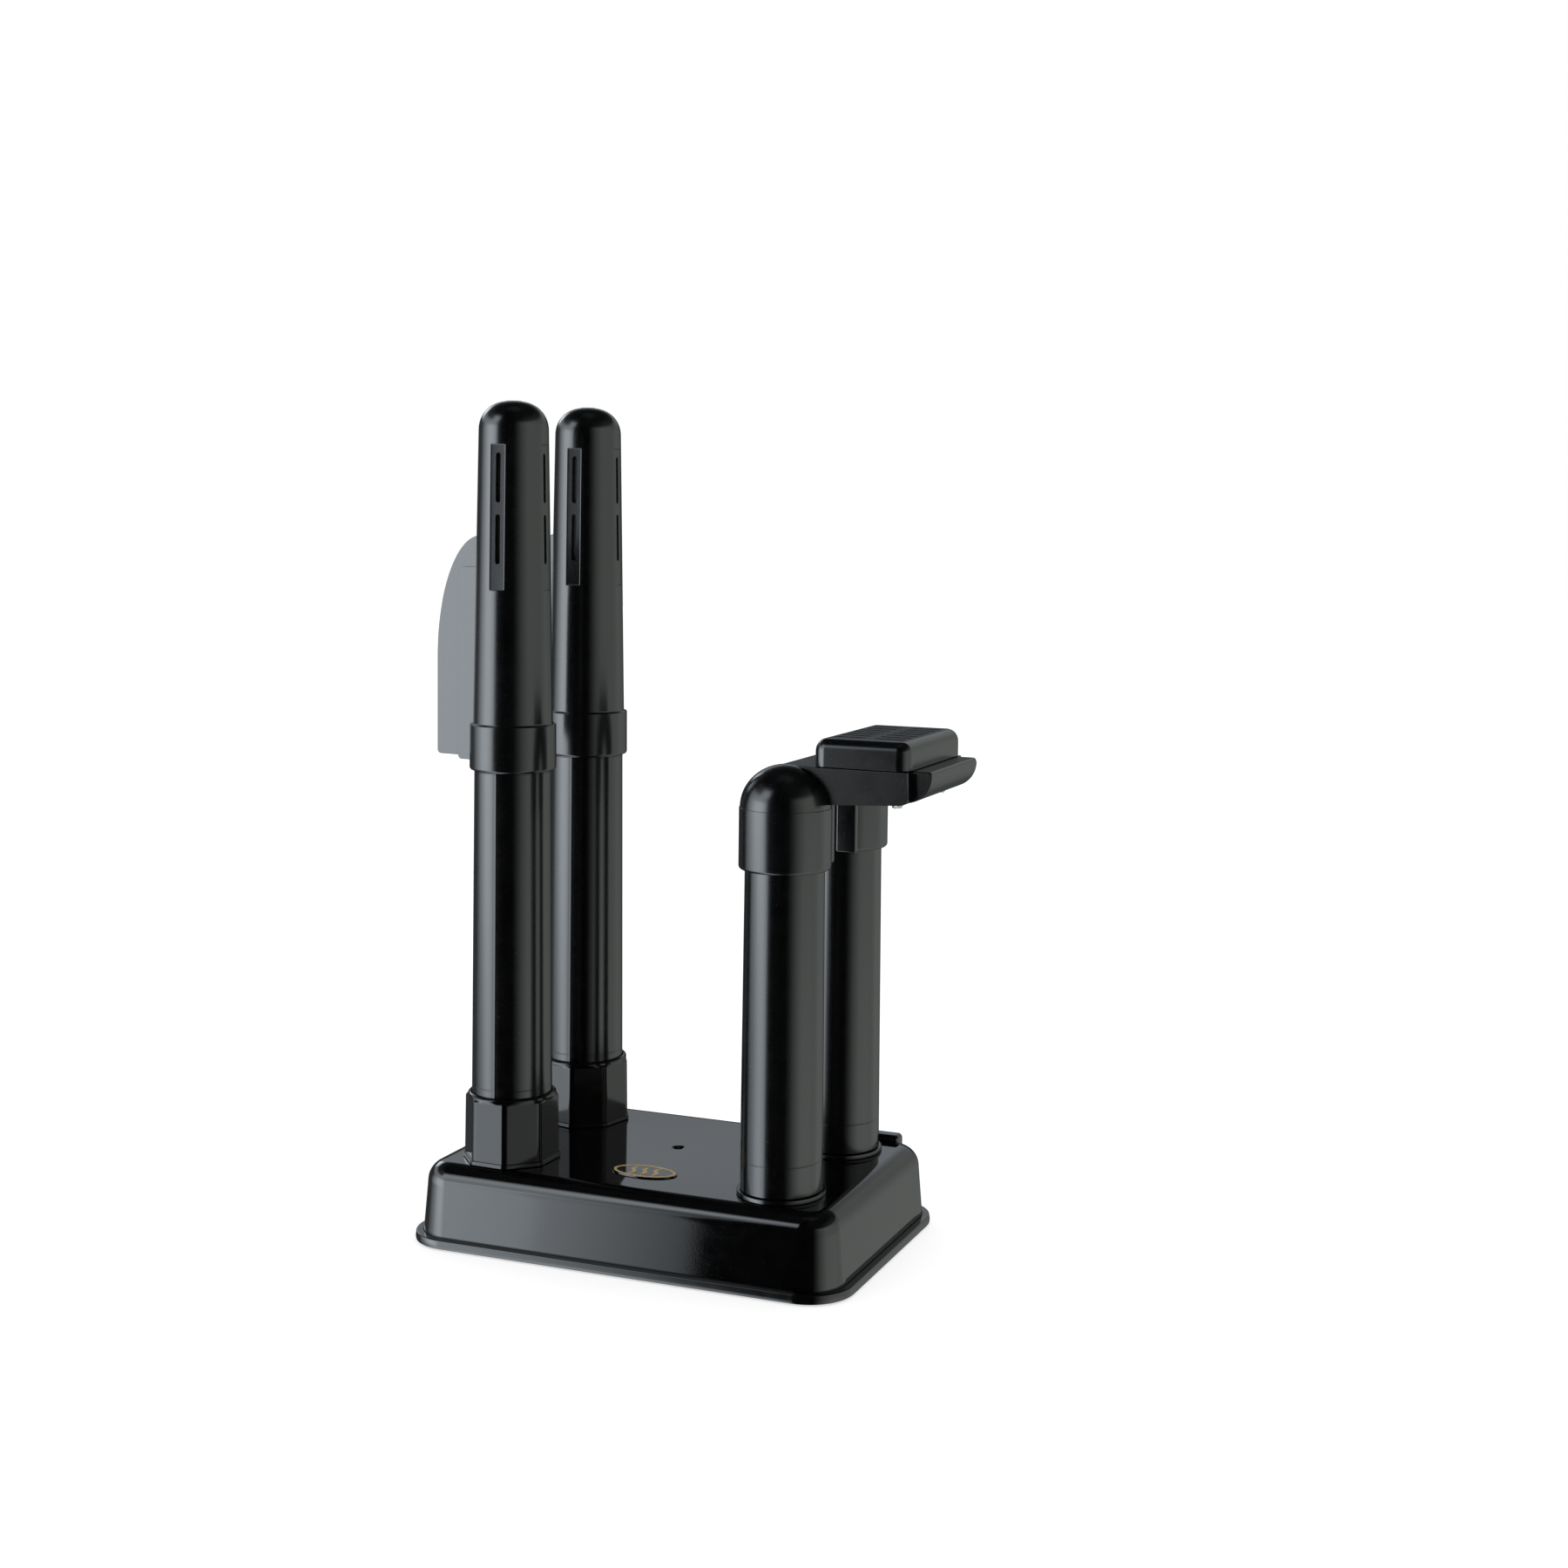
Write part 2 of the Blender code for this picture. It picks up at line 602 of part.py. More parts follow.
def make_glove_port(name, x, y, inner_seat, look):
    """A port that pushes onto a tube: its fin holds a glove open, and its slots let the air out."""
    port = turned(f"{name}_glove_port", nozzle_profile(inner_seat), ROUND, look, (x, y, 0.0))
    taper = math.atan((NOZZLE_LOW_RADIUS - NOZZLE_HIGH_RADIUS) / (NOZZLE_SHOULDER - COLLAR_TOP))
    for i, turn in enumerate(FLUTE_ANGLES):
        low, high = FLUTE_BOTTOM, NOZZLE_SHOULDER - 10.0 * MM
        middle = (low + high) / 2.0
        out = nozzle_radius(middle) + 0.4 * MM
        half = FLUTE_WIDTH / 2.0
        flute = block(f"{name}_flute_{i}", (-1.6 * MM, -half, low), (1.6 * MM, half, high))
        flute.rotation_euler = (0.0, -taper, turn)
        flute.location = (x + out * math.cos(turn), y + out * math.sin(turn), middle)
        cut(port, flute)
        for row in range(2):
            low = 474.0 * MM + row * 42.0 * MM
            high = (8.0 * MM, 1.8 * MM, low + 34.0 * MM)
            vent = block(f"{name}_vent_{i}_{row}", (-8.0 * MM, -1.8 * MM, low), high)
            vent.rotation_euler = (0.0, 0.0, turn)
            vent.location = (x + 24.0 * MM * math.cos(turn), y + 24.0 * MM * math.sin(turn), low + 17.0 * MM)
            cut(port, vent)
    for fin in make_fins(name):
        fin.location = (x, y, 0.0)
        join(port, fin)
    return port


def dome_profile(steps):
    """The side of a dome that stands on a socket, from the axis to the axis."""
    low = SOCKET_SPLIT + CLEAR / 2.0
    rise = DOME_TOP - DOME_CENTRE
    points = [(0.0, low)]
    first = math.degrees(math.asin((low - DOME_CENTRE) / rise))
    for i in range(steps):
        turn = math.radians(first + (90.0 - first) * i / steps)
        points.append((SOCKET_RADIUS * math.cos(turn), DOME_CENTRE + rise * math.sin(turn)))
    points.append((0.0, DOME_TOP))
    return points


def arm_outline():
    """The side outline of the flat arm: a long plate with a round lower corner at its end."""
    left = BASE_X + RISER_X + 1.0 * MM
    right = BASE_X + ARM_END
    radius = 6.0 * MM
    points = [(left, ARM_BOTTOM)]
    for i in range(5):
        turn = math.radians(-90.0 + 22.5 * i)
        along = right - radius + radius * math.cos(turn)
        points.append((along, ARM_BOTTOM + radius + radius * math.sin(turn)))
    return points + [(right, ARM_TOP), (left, ARM_TOP)]


def barrel_outline(x):
    """The half-round outline of the bridge that runs from dome to dome."""
    radius = SOCKET_RADIUS - 1.2 * MM
    low = SOCKET_SPLIT + 0.7 * MM
    points = [(x - radius, low), (x + radius, low)]
    for i in range(9):
        turn = math.radians(12.5 + 19.375 * i)
        points.append((x + radius * math.cos(turn), DOME_CENTRE + (radius - 0.6 * MM) * math.sin(turn)))
    return points


def make_nose():
    """The round roll across the arm's end, under the height of the arm's top."""
    x = BASE_X + NOSE_X
    first = math.asin((ARM_TOP - NOSE_HEIGHT) / NOSE_RADIUS)
    points = [(x - 6.0 * MM, ARM_TOP), (x - 6.0 * MM, NOSE_HEIGHT - NOSE_RADIUS)]
    for i in range(13):
        turn = math.radians(-90.0) + (first + math.radians(90.0)) * i / 12.0
        points.append((x + NOSE_RADIUS * math.cos(turn), NOSE_HEIGHT + NOSE_RADIUS * math.sin(turn)))
    return prism("nose", points, 2.0 * NOSE_HALF_Y)


def make_helmet_shell(look):
    """The upper shell: the two domes, the bridge between them, the arm and its round nose."""
    x = BASE_X + RISER_X
    arm = prism("helmet_port_shell", arm_outline(), 2.0 * ARM_HALF_Y, look)
    join(arm, prism("bridge", barrel_outline(x), 2.0 * RISER_Y + 2.0 * MM))
    join(arm, make_nose())
    for side in (-1, 1):
        join(arm, turned(f"dome_{side}", dome_profile(5), ROUND, location=(x, side * RISER_Y, 0.0)))
    cut_helmet_hollows(arm, x)
    return arm


def cut_helmet_hollows(arm, x):
    """Opens the domes, the bridge and the arm into one air space, open upwards over the arm."""
    for side in (-1, 1):
        y = side * RISER_Y
        cut(arm, rod(f"socket_end_{side}", SOCKET_BORE, 300.0 * MM, TUBE_STOP, ROUND, x, y))
        hollow = turned(f"dome_hollow_{side}", [
            (0.0, 310.0 * MM),
            (23.6 * MM, 310.0 * MM),
            (23.6 * MM, 328.0 * MM),
            (20.0 * MM, 335.0 * MM),
            (12.0 * MM, 341.0 * MM),
            (0.0, 342.6 * MM),
        ], ROUND, location=(x, y, 0.0))
        cut(arm, hollow)
    low = (x - 18.0 * MM, -41.0 * MM, 326.0 * MM)
    cut(arm, block("bridge_hollow", low, (x + 18.0 * MM, 41.0 * MM, 335.6 * MM)))
    low = (x + 14.0 * MM, -52.2 * MM, 327.2 * MM)
    cut(arm, block("neck_hollow", low, (x + 26.0 * MM, 52.2 * MM, 342.2 * MM)))
    wall = 2.6 * MM
    low = (x + 22.0 * MM, -ARM_HALF_Y + wall, ARM_BOTTOM + wall)
    cut(arm, block("arm_hollow", low, (BASE_X + ARM_END - wall, ARM_HALF_Y - wall, ARM_TOP + 10.0 * MM)))
    low = (BASE_X + NOSE_X - 5.0 * MM, -NOSE_HALF_Y + wall, 331.0 * MM)
    cut(arm, block("nose_hollow", low, (BASE_X + NOSE_X + 10.5 * MM, NOSE_HALF_Y - wall, ARM_TOP - wall)))
    for i, (sx, sy) in enumerate(REST_SCREWS):
        low = ARM_BOTTOM + 1.0 * MM
        join(arm, rod(f"pillar_{i}", 5.0 * MM, low, ARM_TOP - 0.2 * MM, 10, BASE_X + sx, sy))
        cut(arm, rod(f"pillar_hole_{i}", 2.0 * MM, 315.0 * MM, 350.0 * MM, 10, BASE_X + sx, sy))


def make_sockets(look):
    """The sleeves under the domes that push onto the right-hand tubes, each with a rib towards the other."""
    high = SOCKET_SPLIT - CLEAR / 2.0
    x = BASE_X + RISER_X
    for name, side in (("front", -1), ("back", 1)):
        socket = turned(f"{name}_helmet_socket", [
            (SOCKET_BORE, SOCKET_BOTTOM),
            (SOCKET_RADIUS - 1.6 * MM, SOCKET_BOTTOM),
            (SOCKET_RADIUS, SOCKET_BOTTOM + 1.6 * MM),
            (SOCKET_RADIUS, high),
            (SOCKET_BORE, high),
        ], ROUND, look, (x, side * RISER_Y, 0.0))
        faces = sorted((side * (RISER_Y - RIB_FACE), side * (RISER_Y - RIB_FACE + RIB_THICK)))
        low = (x + RIB_START, faces[0], SOCKET_BOTTOM + 0.4 * MM)
        join(socket, block(f"{name}_helmet_rib", low, (x + RIB_END, faces[1], high - 0.4 * MM)))


def rest_loop(inset, height, steps=3):
    """The outline of the vented rest, moved in from its edge."""
    middle = BASE_X + (ARM_END + REST_START) / 2.0
    half_x = (ARM_END - REST_START) / 2.0 - inset
    corner = max(9.0 * MM - inset, 2.0 * MM)
    return rounded_rectangle(half_x, ARM_HALF_Y - inset, corner, height, steps, middle)


def make_rest(look):
    """The vented rest: a low dished lid with rows of slots, on which the helmet sits."""
    low = ARM_TOP + CLEAR
    loops = [
        rest_loop(9.0 * MM, REST_TOP - 2.4 * MM),
        rest_loop(5.0 * MM, REST_TOP - 4.0 * MM),
        rest_loop(2.6 * MM, REST_TOP - 8.0 * MM),
        rest_loop(2.6 * MM, low),
        rest_loop(0.0, low),
        rest_loop(0.0, REST_TOP - 9.0 * MM),
        rest_loop(0.9 * MM, REST_TOP - 5.2 * MM),
        rest_loop(3.4 * MM, REST_TOP - 1.6 * MM),
        rest_loop(8.0 * MM, REST_TOP),
    ]
    rest = loft("helmet_rest", loops, look)
    middle = BASE_X + (ARM_END + REST_START) / 2.0
    for column in range(7):
        y = (column - 3.0) * 12.0 * MM
        for half in (-1, 1):
            x = middle + half * 14.0 * MM
            low_corner = (x - 11.0 * MM, y - 1.8 * MM, 350.0 * MM)
            slot = block(f"rest_slot_{column}_{half}", low_corner, (x + 11.0 * MM, y + 1.8 * MM, 372.0 * MM))
            cut(rest, slot)
    for i, (sx, sy) in enumerate(REST_SCREWS):
        join(rest, rod(f"rest_boss_{i}", 4.4 * MM, low, REST_TOP - 1.0 * MM, 16, BASE_X + sx, sy))
        cut(rest, rod(f"rest_hole_{i}", 1.8 * MM, 340.0 * MM, 356.0 * MM, 10, BASE_X + sx, sy))
    return rest


def make_rest_screws(look):
    """Screws up through the arm's pillars into the rest."""
    for i, (sx, sy) in enumerate(REST_SCREWS):
        name = ("front_inner", "back_inner", "front_outer", "back_outer")[i]
        turned(f"{name}_rest_screw", [
            (0.0, ARM_BOTTOM - 2.2 * MM),
            (3.0 * MM, ARM_BOTTOM - 2.2 * MM),
            (3.6 * MM, ARM_BOTTOM - 1.6 * MM),
            (3.6 * MM, ARM_BOTTOM - CLEAR),
            (1.5 * MM, ARM_BOTTOM - CLEAR),
            (1.5 * MM, 352.0 * MM),
            (0.0, 354.0 * MM),
        ], 10, look, (BASE_X + sx, sy, 0.0))


def clear_scene():
    for old in list(bpy.data.objects):
        bpy.data.objects.remove(old)


def build():
    clear_scene()
    gloss = material("gloss_black_plastic", (0.012, 0.012, 0.013), 0.12)
    pan_black = material("pan_black_plastic", (0.014, 0.014, 0.015), 0.2)
    satin = material("satin_black_plastic", (0.016, 0.016, 0.017), 0.3)
    port_black = material("port_black_plastic", (0.015, 0.016, 0.017), 0.34)
    rubber = material("foot_rubber", (0.02, 0.02, 0.02), 0.8)
    zinc = material("screw_zinc", (0.55, 0.55, 0.57), 0.35, 1.0)
    gold = material("badge_gold", (0.55, 0.4, 0.14), 0.4, 0.6)
    sheet = material("reflector_aluminium", (0.75, 0.75, 0.76), 0.3, 1.0)
    ceramic = material("element_ceramic", (0.8, 0.78, 0.7), 0.6)
    nylon = material("terminal_nylon", (0.7, 0.7, 0.66), 0.5)

    make_pan(pan_black)
    make_cover(gloss)
    make_gland(satin)
    make_feet(rubber)
    make_base_screws(zinc)
    make_badge(gold)
    make_shield(sheet)
    for side in (-1, 1):
        make_heater(side, sheet, ceramic)
    make_wiring(nylon, zinc)

    left_bottom = COUPLING_SEAT + CLEAR
    right_bottom = RING_TOP + CLEAR
    for name, x, y in risers():
        make_duct_stub(name, x, y, satin)
        if name.endswith("left"):
            make_coupling(name, x, y, satin)
            make_tube(name, x, y, left_bottom, satin)
            make_glove_port(name, x, y, left_bottom + TUBE_LENGTH + CLEAR, port_black)
        else:
            make_seat_ring(name, x, y, satin)
            make_tube(name, x, y, right_bottom, satin)
    make_helmet_shell(port_black)
    make_sockets(port_black)
    make_rest(port_black)
    make_rest_screws(zinc)


build()
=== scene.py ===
"""Boot dryer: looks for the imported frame, with fine pieces over the CAD ones.

Lengths are in metres, written as a number times MM. Compass directions are degrees from -Y towards +X.
"""
import json
import math

import bmesh
import bpy
from mathutils import Matrix, Vector


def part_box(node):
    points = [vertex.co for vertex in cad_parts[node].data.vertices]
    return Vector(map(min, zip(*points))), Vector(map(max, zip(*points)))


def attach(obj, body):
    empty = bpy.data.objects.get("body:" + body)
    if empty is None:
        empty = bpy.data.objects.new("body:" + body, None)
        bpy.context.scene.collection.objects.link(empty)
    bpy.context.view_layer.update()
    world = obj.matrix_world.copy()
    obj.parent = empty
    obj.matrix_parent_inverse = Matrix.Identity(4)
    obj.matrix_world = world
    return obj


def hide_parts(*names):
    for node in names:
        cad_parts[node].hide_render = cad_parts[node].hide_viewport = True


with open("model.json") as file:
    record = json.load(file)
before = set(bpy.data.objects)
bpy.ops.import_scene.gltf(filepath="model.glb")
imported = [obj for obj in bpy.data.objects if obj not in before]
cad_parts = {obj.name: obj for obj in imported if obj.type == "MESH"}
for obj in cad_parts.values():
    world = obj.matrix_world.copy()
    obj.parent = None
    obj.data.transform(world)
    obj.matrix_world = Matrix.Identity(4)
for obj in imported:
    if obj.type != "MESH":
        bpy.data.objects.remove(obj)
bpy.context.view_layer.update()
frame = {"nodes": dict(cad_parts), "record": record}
NODES = frame["nodes"]
MM = 0.001
CORNERS = ("front_left", "back_left", "front_right", "back_right")

# The turns and angles of the CAD pieces, which their boxes don't tell.
COUPLING_TURNS = {"front_left": math.radians(268.0), "back_left": math.radians(257.0)}
FIN_ANGLE = math.radians(173.0)
FLUTE_ANGLES = [math.radians(degrees) for degrees in (93.0, 183.0, 273.0, 3.0)]

# The gap between a piece and what it slides over or rests on, and the sharpest angle that is shaded smooth.
SLIP = 0.3 * MM
SMOOTH_UP_TO = math.radians(30.0)

# The studio's light: how bright the shiny surfaces, the diffuse ones and the camera see it.
STUDIO_LIGHT = 5.0
DOME_LIGHT = 1.1
PAPER_LIGHT = 1.0


# ---------------------------------------------------------------- camera, world and floor

def make_camera():
    """The main view: from the front, a little from the right and from above. The angles are in radians."""
    data = bpy.data.cameras.new("camera")
    camera = bpy.data.objects.new("camera", data)
    bpy.context.scene.collection.objects.link(camera)
    yaw, pitch, roll = 0.36191, 0.07235, 0.01402
    back = Vector((math.sin(yaw) * math.cos(pitch), -math.cos(yaw) * math.cos(pitch), math.sin(pitch)))
    turn = back.to_track_quat("Z", "Y")
    camera.rotation_mode = "QUATERNION"
    camera.rotation_quaternion = turn @ Matrix.Rotation(roll, 3, "Z").to_quaternion()
    camera.location = (0.6393, -1.3856, 0.5211)
    data.lens = 50.18
    data.shift_x = -0.047
    data.shift_y = -0.08
    data.clip_start = 0.05
    data.clip_end = 50.0
    bpy.context.scene.camera = camera


def share_of(degrees):
    """A compass direction as a share of the full turn, with -Y at one half."""
    return degrees / 360.0 + 0.5


def azimuth_ramp(tree, around, stops):
    """Light over the compass: stops are (degrees, light)."""
    ramp = tree.nodes.new("ShaderNodeValToRGB")
    elements = ramp.color_ramp.elements
    while len(elements) < len(stops):
        elements.new(0.5)
    for element, (degrees, light) in zip(elements, stops):
        element.position = share_of(degrees)
        element.color = (light, light, light, 1.0)
    tree.links.new(around, ramp.inputs[0])
    return ramp.outputs["Color"]


def band(tree, height, low, high, below, above):
    """Goes from below to above as the sine of the elevation goes from low to high."""
    share = tree.nodes.new("ShaderNodeMapRange")
    share.interpolation_type = "SMOOTHSTEP"
    share.inputs["From Min"].default_value = low
    share.inputs["From Max"].default_value = high
    tree.links.new(height, share.inputs["Value"])
    mix = tree.nodes.new("ShaderNodeMix")
    mix.data_type = "RGBA"
    tree.links.new(share.outputs["Result"], mix.inputs["Factor"])
    for slot, value in ((mix.inputs["A"], below), (mix.inputs["B"], above)):
        if isinstance(value, tuple):
            slot.default_value = value
        else:
            tree.links.new(value, slot)
    return mix.outputs["Result"]


def step(tree, source, degrees, width, before, after):
    """Goes from before to after at a compass direction, over a width in degrees. A ramp would blur it."""
    made = tree.nodes.new("ShaderNodeMapRange")
    made.inputs["From Min"].default_value = share_of(degrees)
    made.inputs["From Max"].default_value = share_of(degrees + width)
    made.inputs["To Min"].default_value = before
    made.inputs["To Max"].default_value = after
    tree.links.new(source, made.inputs["Value"])
    return made.outputs["Result"]


def joined(tree, operation, a, b):
    """Two values through one Math node."""
    made = tree.nodes.new("ShaderNodeMath")
    made.operation = operation
    tree.links.new(a, made.inputs[0])
    tree.links.new(b, made.inputs[1])
    return made.outputs[0]


def box_edge(tree, around):
    """The left softbox's sharp inner edges: a small step, then its end. The right side is left as it is."""
    dimmer = step(tree, around, -28.1, 0.15, 1.0, 0.83)
    end = step(tree, around, -23.95, 0.2, 1.0, 0.0)
    right_side = step(tree, around, 5.0, 5.0, 0.0, 1.0)
    return joined(tree, "ADD", joined(tree, "MULTIPLY", dimmer, end), right_side)


def scaled(tree, colour, factor):
    """A colour times a factor or another colour."""
    mix = tree.nodes.new("ShaderNodeMix")
    mix.data_type = "RGBA"
    mix.blend_type = "MULTIPLY"
    mix.inputs["Factor"].default_value = 1.0
    tree.links.new(colour, mix.inputs["A"])
    tree.links.new(factor, mix.inputs["B"])
    return mix.outputs["Result"]


def background(tree, colour, strength):
    """A background shader in a constant colour or in one made by nodes."""
    shade = tree.nodes.new("ShaderNodeBackground")
    shade.inputs["Strength"].default_value = strength
    if isinstance(colour, tuple):
        shade.inputs["Color"].default_value = colour
    else:
        tree.links.new(colour, shade.inputs["Color"])
    return shade.outputs[0]


def compass(tree, split):
    """The direction around, as share_of gives it."""
    flip = tree.nodes.new("ShaderNodeMath")
    flip.operation = "MULTIPLY"
    flip.inputs[1].default_value = -1.0
    tree.links.new(split.outputs["Y"], flip.inputs[0])
    around = joined(tree, "ARCTAN2", split.outputs["X"], flip.outputs[0])
    share = tree.nodes.new("ShaderNodeMath")
    share.operation = "MULTIPLY_ADD"
    share.inputs[1].default_value = 1.0 / (2.0 * math.pi)
    share.inputs[2].default_value = 0.5
    tree.links.new(around, share.inputs[0])
    return share.outputs[0]


def studio_light(tree):
    """What shiny surfaces mirror: a softbox on each side of a dark gap, dimmer above, and a dark ceiling."""
    place = tree.nodes.new("ShaderNodeTexCoord")
    split = tree.nodes.new("ShaderNodeSeparateXYZ")
    tree.links.new(place.outputs["Generated"], split.inputs[0])
    around = compass(tree, split)
    height = split.outputs["Z"]
    low = azimuth_ramp(tree, around, [
        (-180, 0.02), (-112, 0.02), (-96, 0.04), (-84, 0.18), (-67, 0.42), (-55, 0.78), (-44, 1.0),
        (-33, 0.88), (-28.5, 0.79), (-27.7, 0.72), (-26.4, 0.54), (-25, 0.37), (-24, 0.24), (-10, 0.0),
        (32, 0.0), (42, 0.05), (56, 0.2), (75, 0.36), (100, 0.33), (118, 0.24), (134, 0.2), (141, 0.2),
        (150, 0.14), (161, 0.1), (172, 0.06), (180, 0.03),
    ])
    level = azimuth_ramp(tree, around, [
        (-180, 0.02), (-112, 0.02), (-96, 0.05), (-84, 0.3), (-70, 0.75), (-58, 1.25), (-44, 1.4),
        (-34, 1.2), (-31, 1.0), (-28, 0.8), (-25.7, 0.5), (-24.2, 0.32), (-22, 0.2), (-10, 0.0),
        (32, 0.0), (42, 0.05), (56, 0.17), (75, 0.28), (100, 0.26), (118, 0.22), (141, 0.2),
        (150, 0.14), (161, 0.1), (172, 0.06), (180, 0.03),
    ])
    middle_band = azimuth_ramp(tree, around, [
        (-180, 0.12), (-150, 0.13), (-136, 0.2), (-132, 0.75), (-118, 0.75), (-114, 0.2), (-84, 0.35),
        (-66, 0.6), (-44, 0.8), (-30, 0.6), (-22, 0.02), (0, 0.0), (34, 0.0), (58, 0.2), (80, 0.3),
        (105, 0.26), (130, 0.16), (160, 0.12), (180, 0.12),
    ])
    upper = azimuth_ramp(tree, around, [
        (-180, 0.012), (-130, 0.012), (-90, 0.03), (-60, 0.1), (-46, 0.8), (-28, 0.8), (-20, 0.0), (20, 0.0),
        (60, 0.01), (100, 0.04), (130, 0.03), (150, 0.012), (180, 0.012),
    ])
    light = band(tree, height, -0.24, -0.14, low, level)
    light = band(tree, height, 0.2, 0.3, light, middle_band)
    light = band(tree, height, 0.4, 0.55, light, upper)
    light = band(tree, height, 0.62, 0.78, light, (0.006, 0.006, 0.006, 1.0))
    light = band(tree, height, 0.95, 0.99, light, (0.03, 0.03, 0.03, 1.0))
    light = scaled(tree, light, box_edge(tree, around))
    cool_left, warm_right = (0.92, 1.0, 1.07, 1.0), (0.95, 1.02, 0.96, 1.0)
    return scaled(tree, light, band(tree, around, 0.45, 0.55, cool_left, warm_right))


def make_world():
    """The studio for mirrored rays, an even dome for diffuse ones and white paper for the camera."""
    world = bpy.data.worlds.new("studio")
    bpy.context.scene.world = world
    world.use_nodes = True
    world.cycles.sampling_method = "NONE"
    tree = world.node_tree
    tree.nodes.clear()
    rays = tree.nodes.new("ShaderNodeLightPath")
    white = (1.0, 1.0, 1.0, 1.0)
    shade = background(tree, studio_light(tree), STUDIO_LIGHT)
    for kind, light in (("Is Diffuse Ray", DOME_LIGHT), ("Is Camera Ray", PAPER_LIGHT)):
        mix = tree.nodes.new("ShaderNodeMixShader")
        tree.links.new(rays.outputs[kind], mix.inputs[0])
        tree.links.new(shade, mix.inputs[1])
        tree.links.new(background(tree, white, light), mix.inputs[2])
        shade = mix.outputs[0]
    out = tree.nodes.new("ShaderNodeOutputWorld")
    tree.links.new(shade, out.inputs[0])


def make_floor():
    """White paper just under the feet. Its glow keeps it white, and what it lacks makes a soft shadow."""
    bm = bmesh.new()
    bmesh.ops.create_grid(bm, x_segments=2, y_segments=2, size=8.0)
    mesh = bpy.data.meshes.new("floor")
    bm.to_mesh(mesh)
    bm.free()
    floor = bpy.data.objects.new("floor", mesh)
    bpy.context.scene.collection.objects.link(floor)
    floor.visible_glossy = False
    floor.location.z = -0.5 * MM
    look = bpy.data.materials.new("floor_paper")
    look.use_nodes = True
    shader = look.node_tree.nodes["Principled BSDF"]
    shader.inputs["Base Color"].default_value = (0.5, 0.5, 0.5, 1.0)
    shader.inputs["Emission Color"].default_value = (1.0, 1.0, 1.0, 1.0)
    shader.inputs["Emission Strength"].default_value = 0.6
    shader.inputs["Roughness"].default_value = 1.0
    shader.inputs["Specular IOR Level"].default_value = 0.0
    mesh.materials.append(look)


# ---------------------------------------------------------------- materials

class Look:
    """A material's node tree with short helpers."""

    def __init__(self, name):
        self.material = bpy.data.materials.new(name)
        self.material.use_nodes = True
        self.tree = self.material.node_tree
        self.shader = self.tree.nodes["Principled BSDF"]
        self.place = self.tree.nodes.new("ShaderNodeTexCoord").outputs["Object"]
        self.heights = []

    def node(self, kind, **inputs):
        made = self.tree.nodes.new(kind)
        for key, value in inputs.items():
            made.inputs[key.replace("_", " ")].default_value = value
        return made

    def link(self, source, target):
        self.tree.links.new(source, target)

    def stretched(self, scale):
        mapping = self.node("ShaderNodeMapping", Scale=scale)
        self.link(self.place, mapping.inputs["Vector"])
        return mapping.outputs[0]

    def noise(self, scale, detail=2.0, stretch=None, rough=0.5):
        made = self.node("ShaderNodeTexNoise", Scale=scale, Detail=detail, Roughness=rough)
        self.link(self.stretched(stretch) if stretch else self.place, made.inputs["Vector"])
        return made.outputs["Fac"]

    def span(self, source, low, high, to_low=0.0, to_high=1.0, smooth=False):
        made = self.node("ShaderNodeMapRange")
        made.interpolation_type = "SMOOTHSTEP" if smooth else "LINEAR"
        self.link(source, made.inputs["Value"])
        made.inputs["From Min"].default_value = low
        made.inputs["From Max"].default_value = high
        made.inputs["To Min"].default_value = to_low
        made.inputs["To Max"].default_value = to_high
        return made.outputs["Result"]

    def math(self, operation, a, b):
        made = self.tree.nodes.new("ShaderNodeMath")
        made.operation = operation
        for slot, value in zip(made.inputs, (a, b)):
            if isinstance(value, (int, float)):
                slot.default_value = value
            else:
                self.link(value, slot)
        return made.outputs[0]

    def colours(self, factor, a, b):
        made = self.tree.nodes.new("ShaderNodeMix")
        made.data_type = "RGBA"
        self.link(factor, made.inputs["Factor"])
        for slot, value in ((made.inputs["A"], a), (made.inputs["B"], b)):
            if isinstance(value, tuple):
                slot.default_value = (*value, 1.0)
            else:
                self.link(value, slot)
        return made.outputs["Result"]

    def bump(self, source, strength, distance):
        made = self.node("ShaderNodeBump", Strength=strength, Distance=distance)
        self.link(source, made.inputs["Height"])
        if self.heights:
            self.link(self.heights[-1], made.inputs["Normal"])
        self.heights.append(made.outputs["Normal"])
        self.link(made.outputs["Normal"], self.shader.inputs["Normal"])

    def set(self, **inputs):
        for key, value in inputs.items():
            self.shader.inputs[key.replace("_", " ")].default_value = value


BLACK = (0.0007, 0.0008, 0.0009)
DARK_GREY = (0.0016, 0.0017, 0.0018)
PORT_GREY = (0.002, 0.0022, 0.0024)


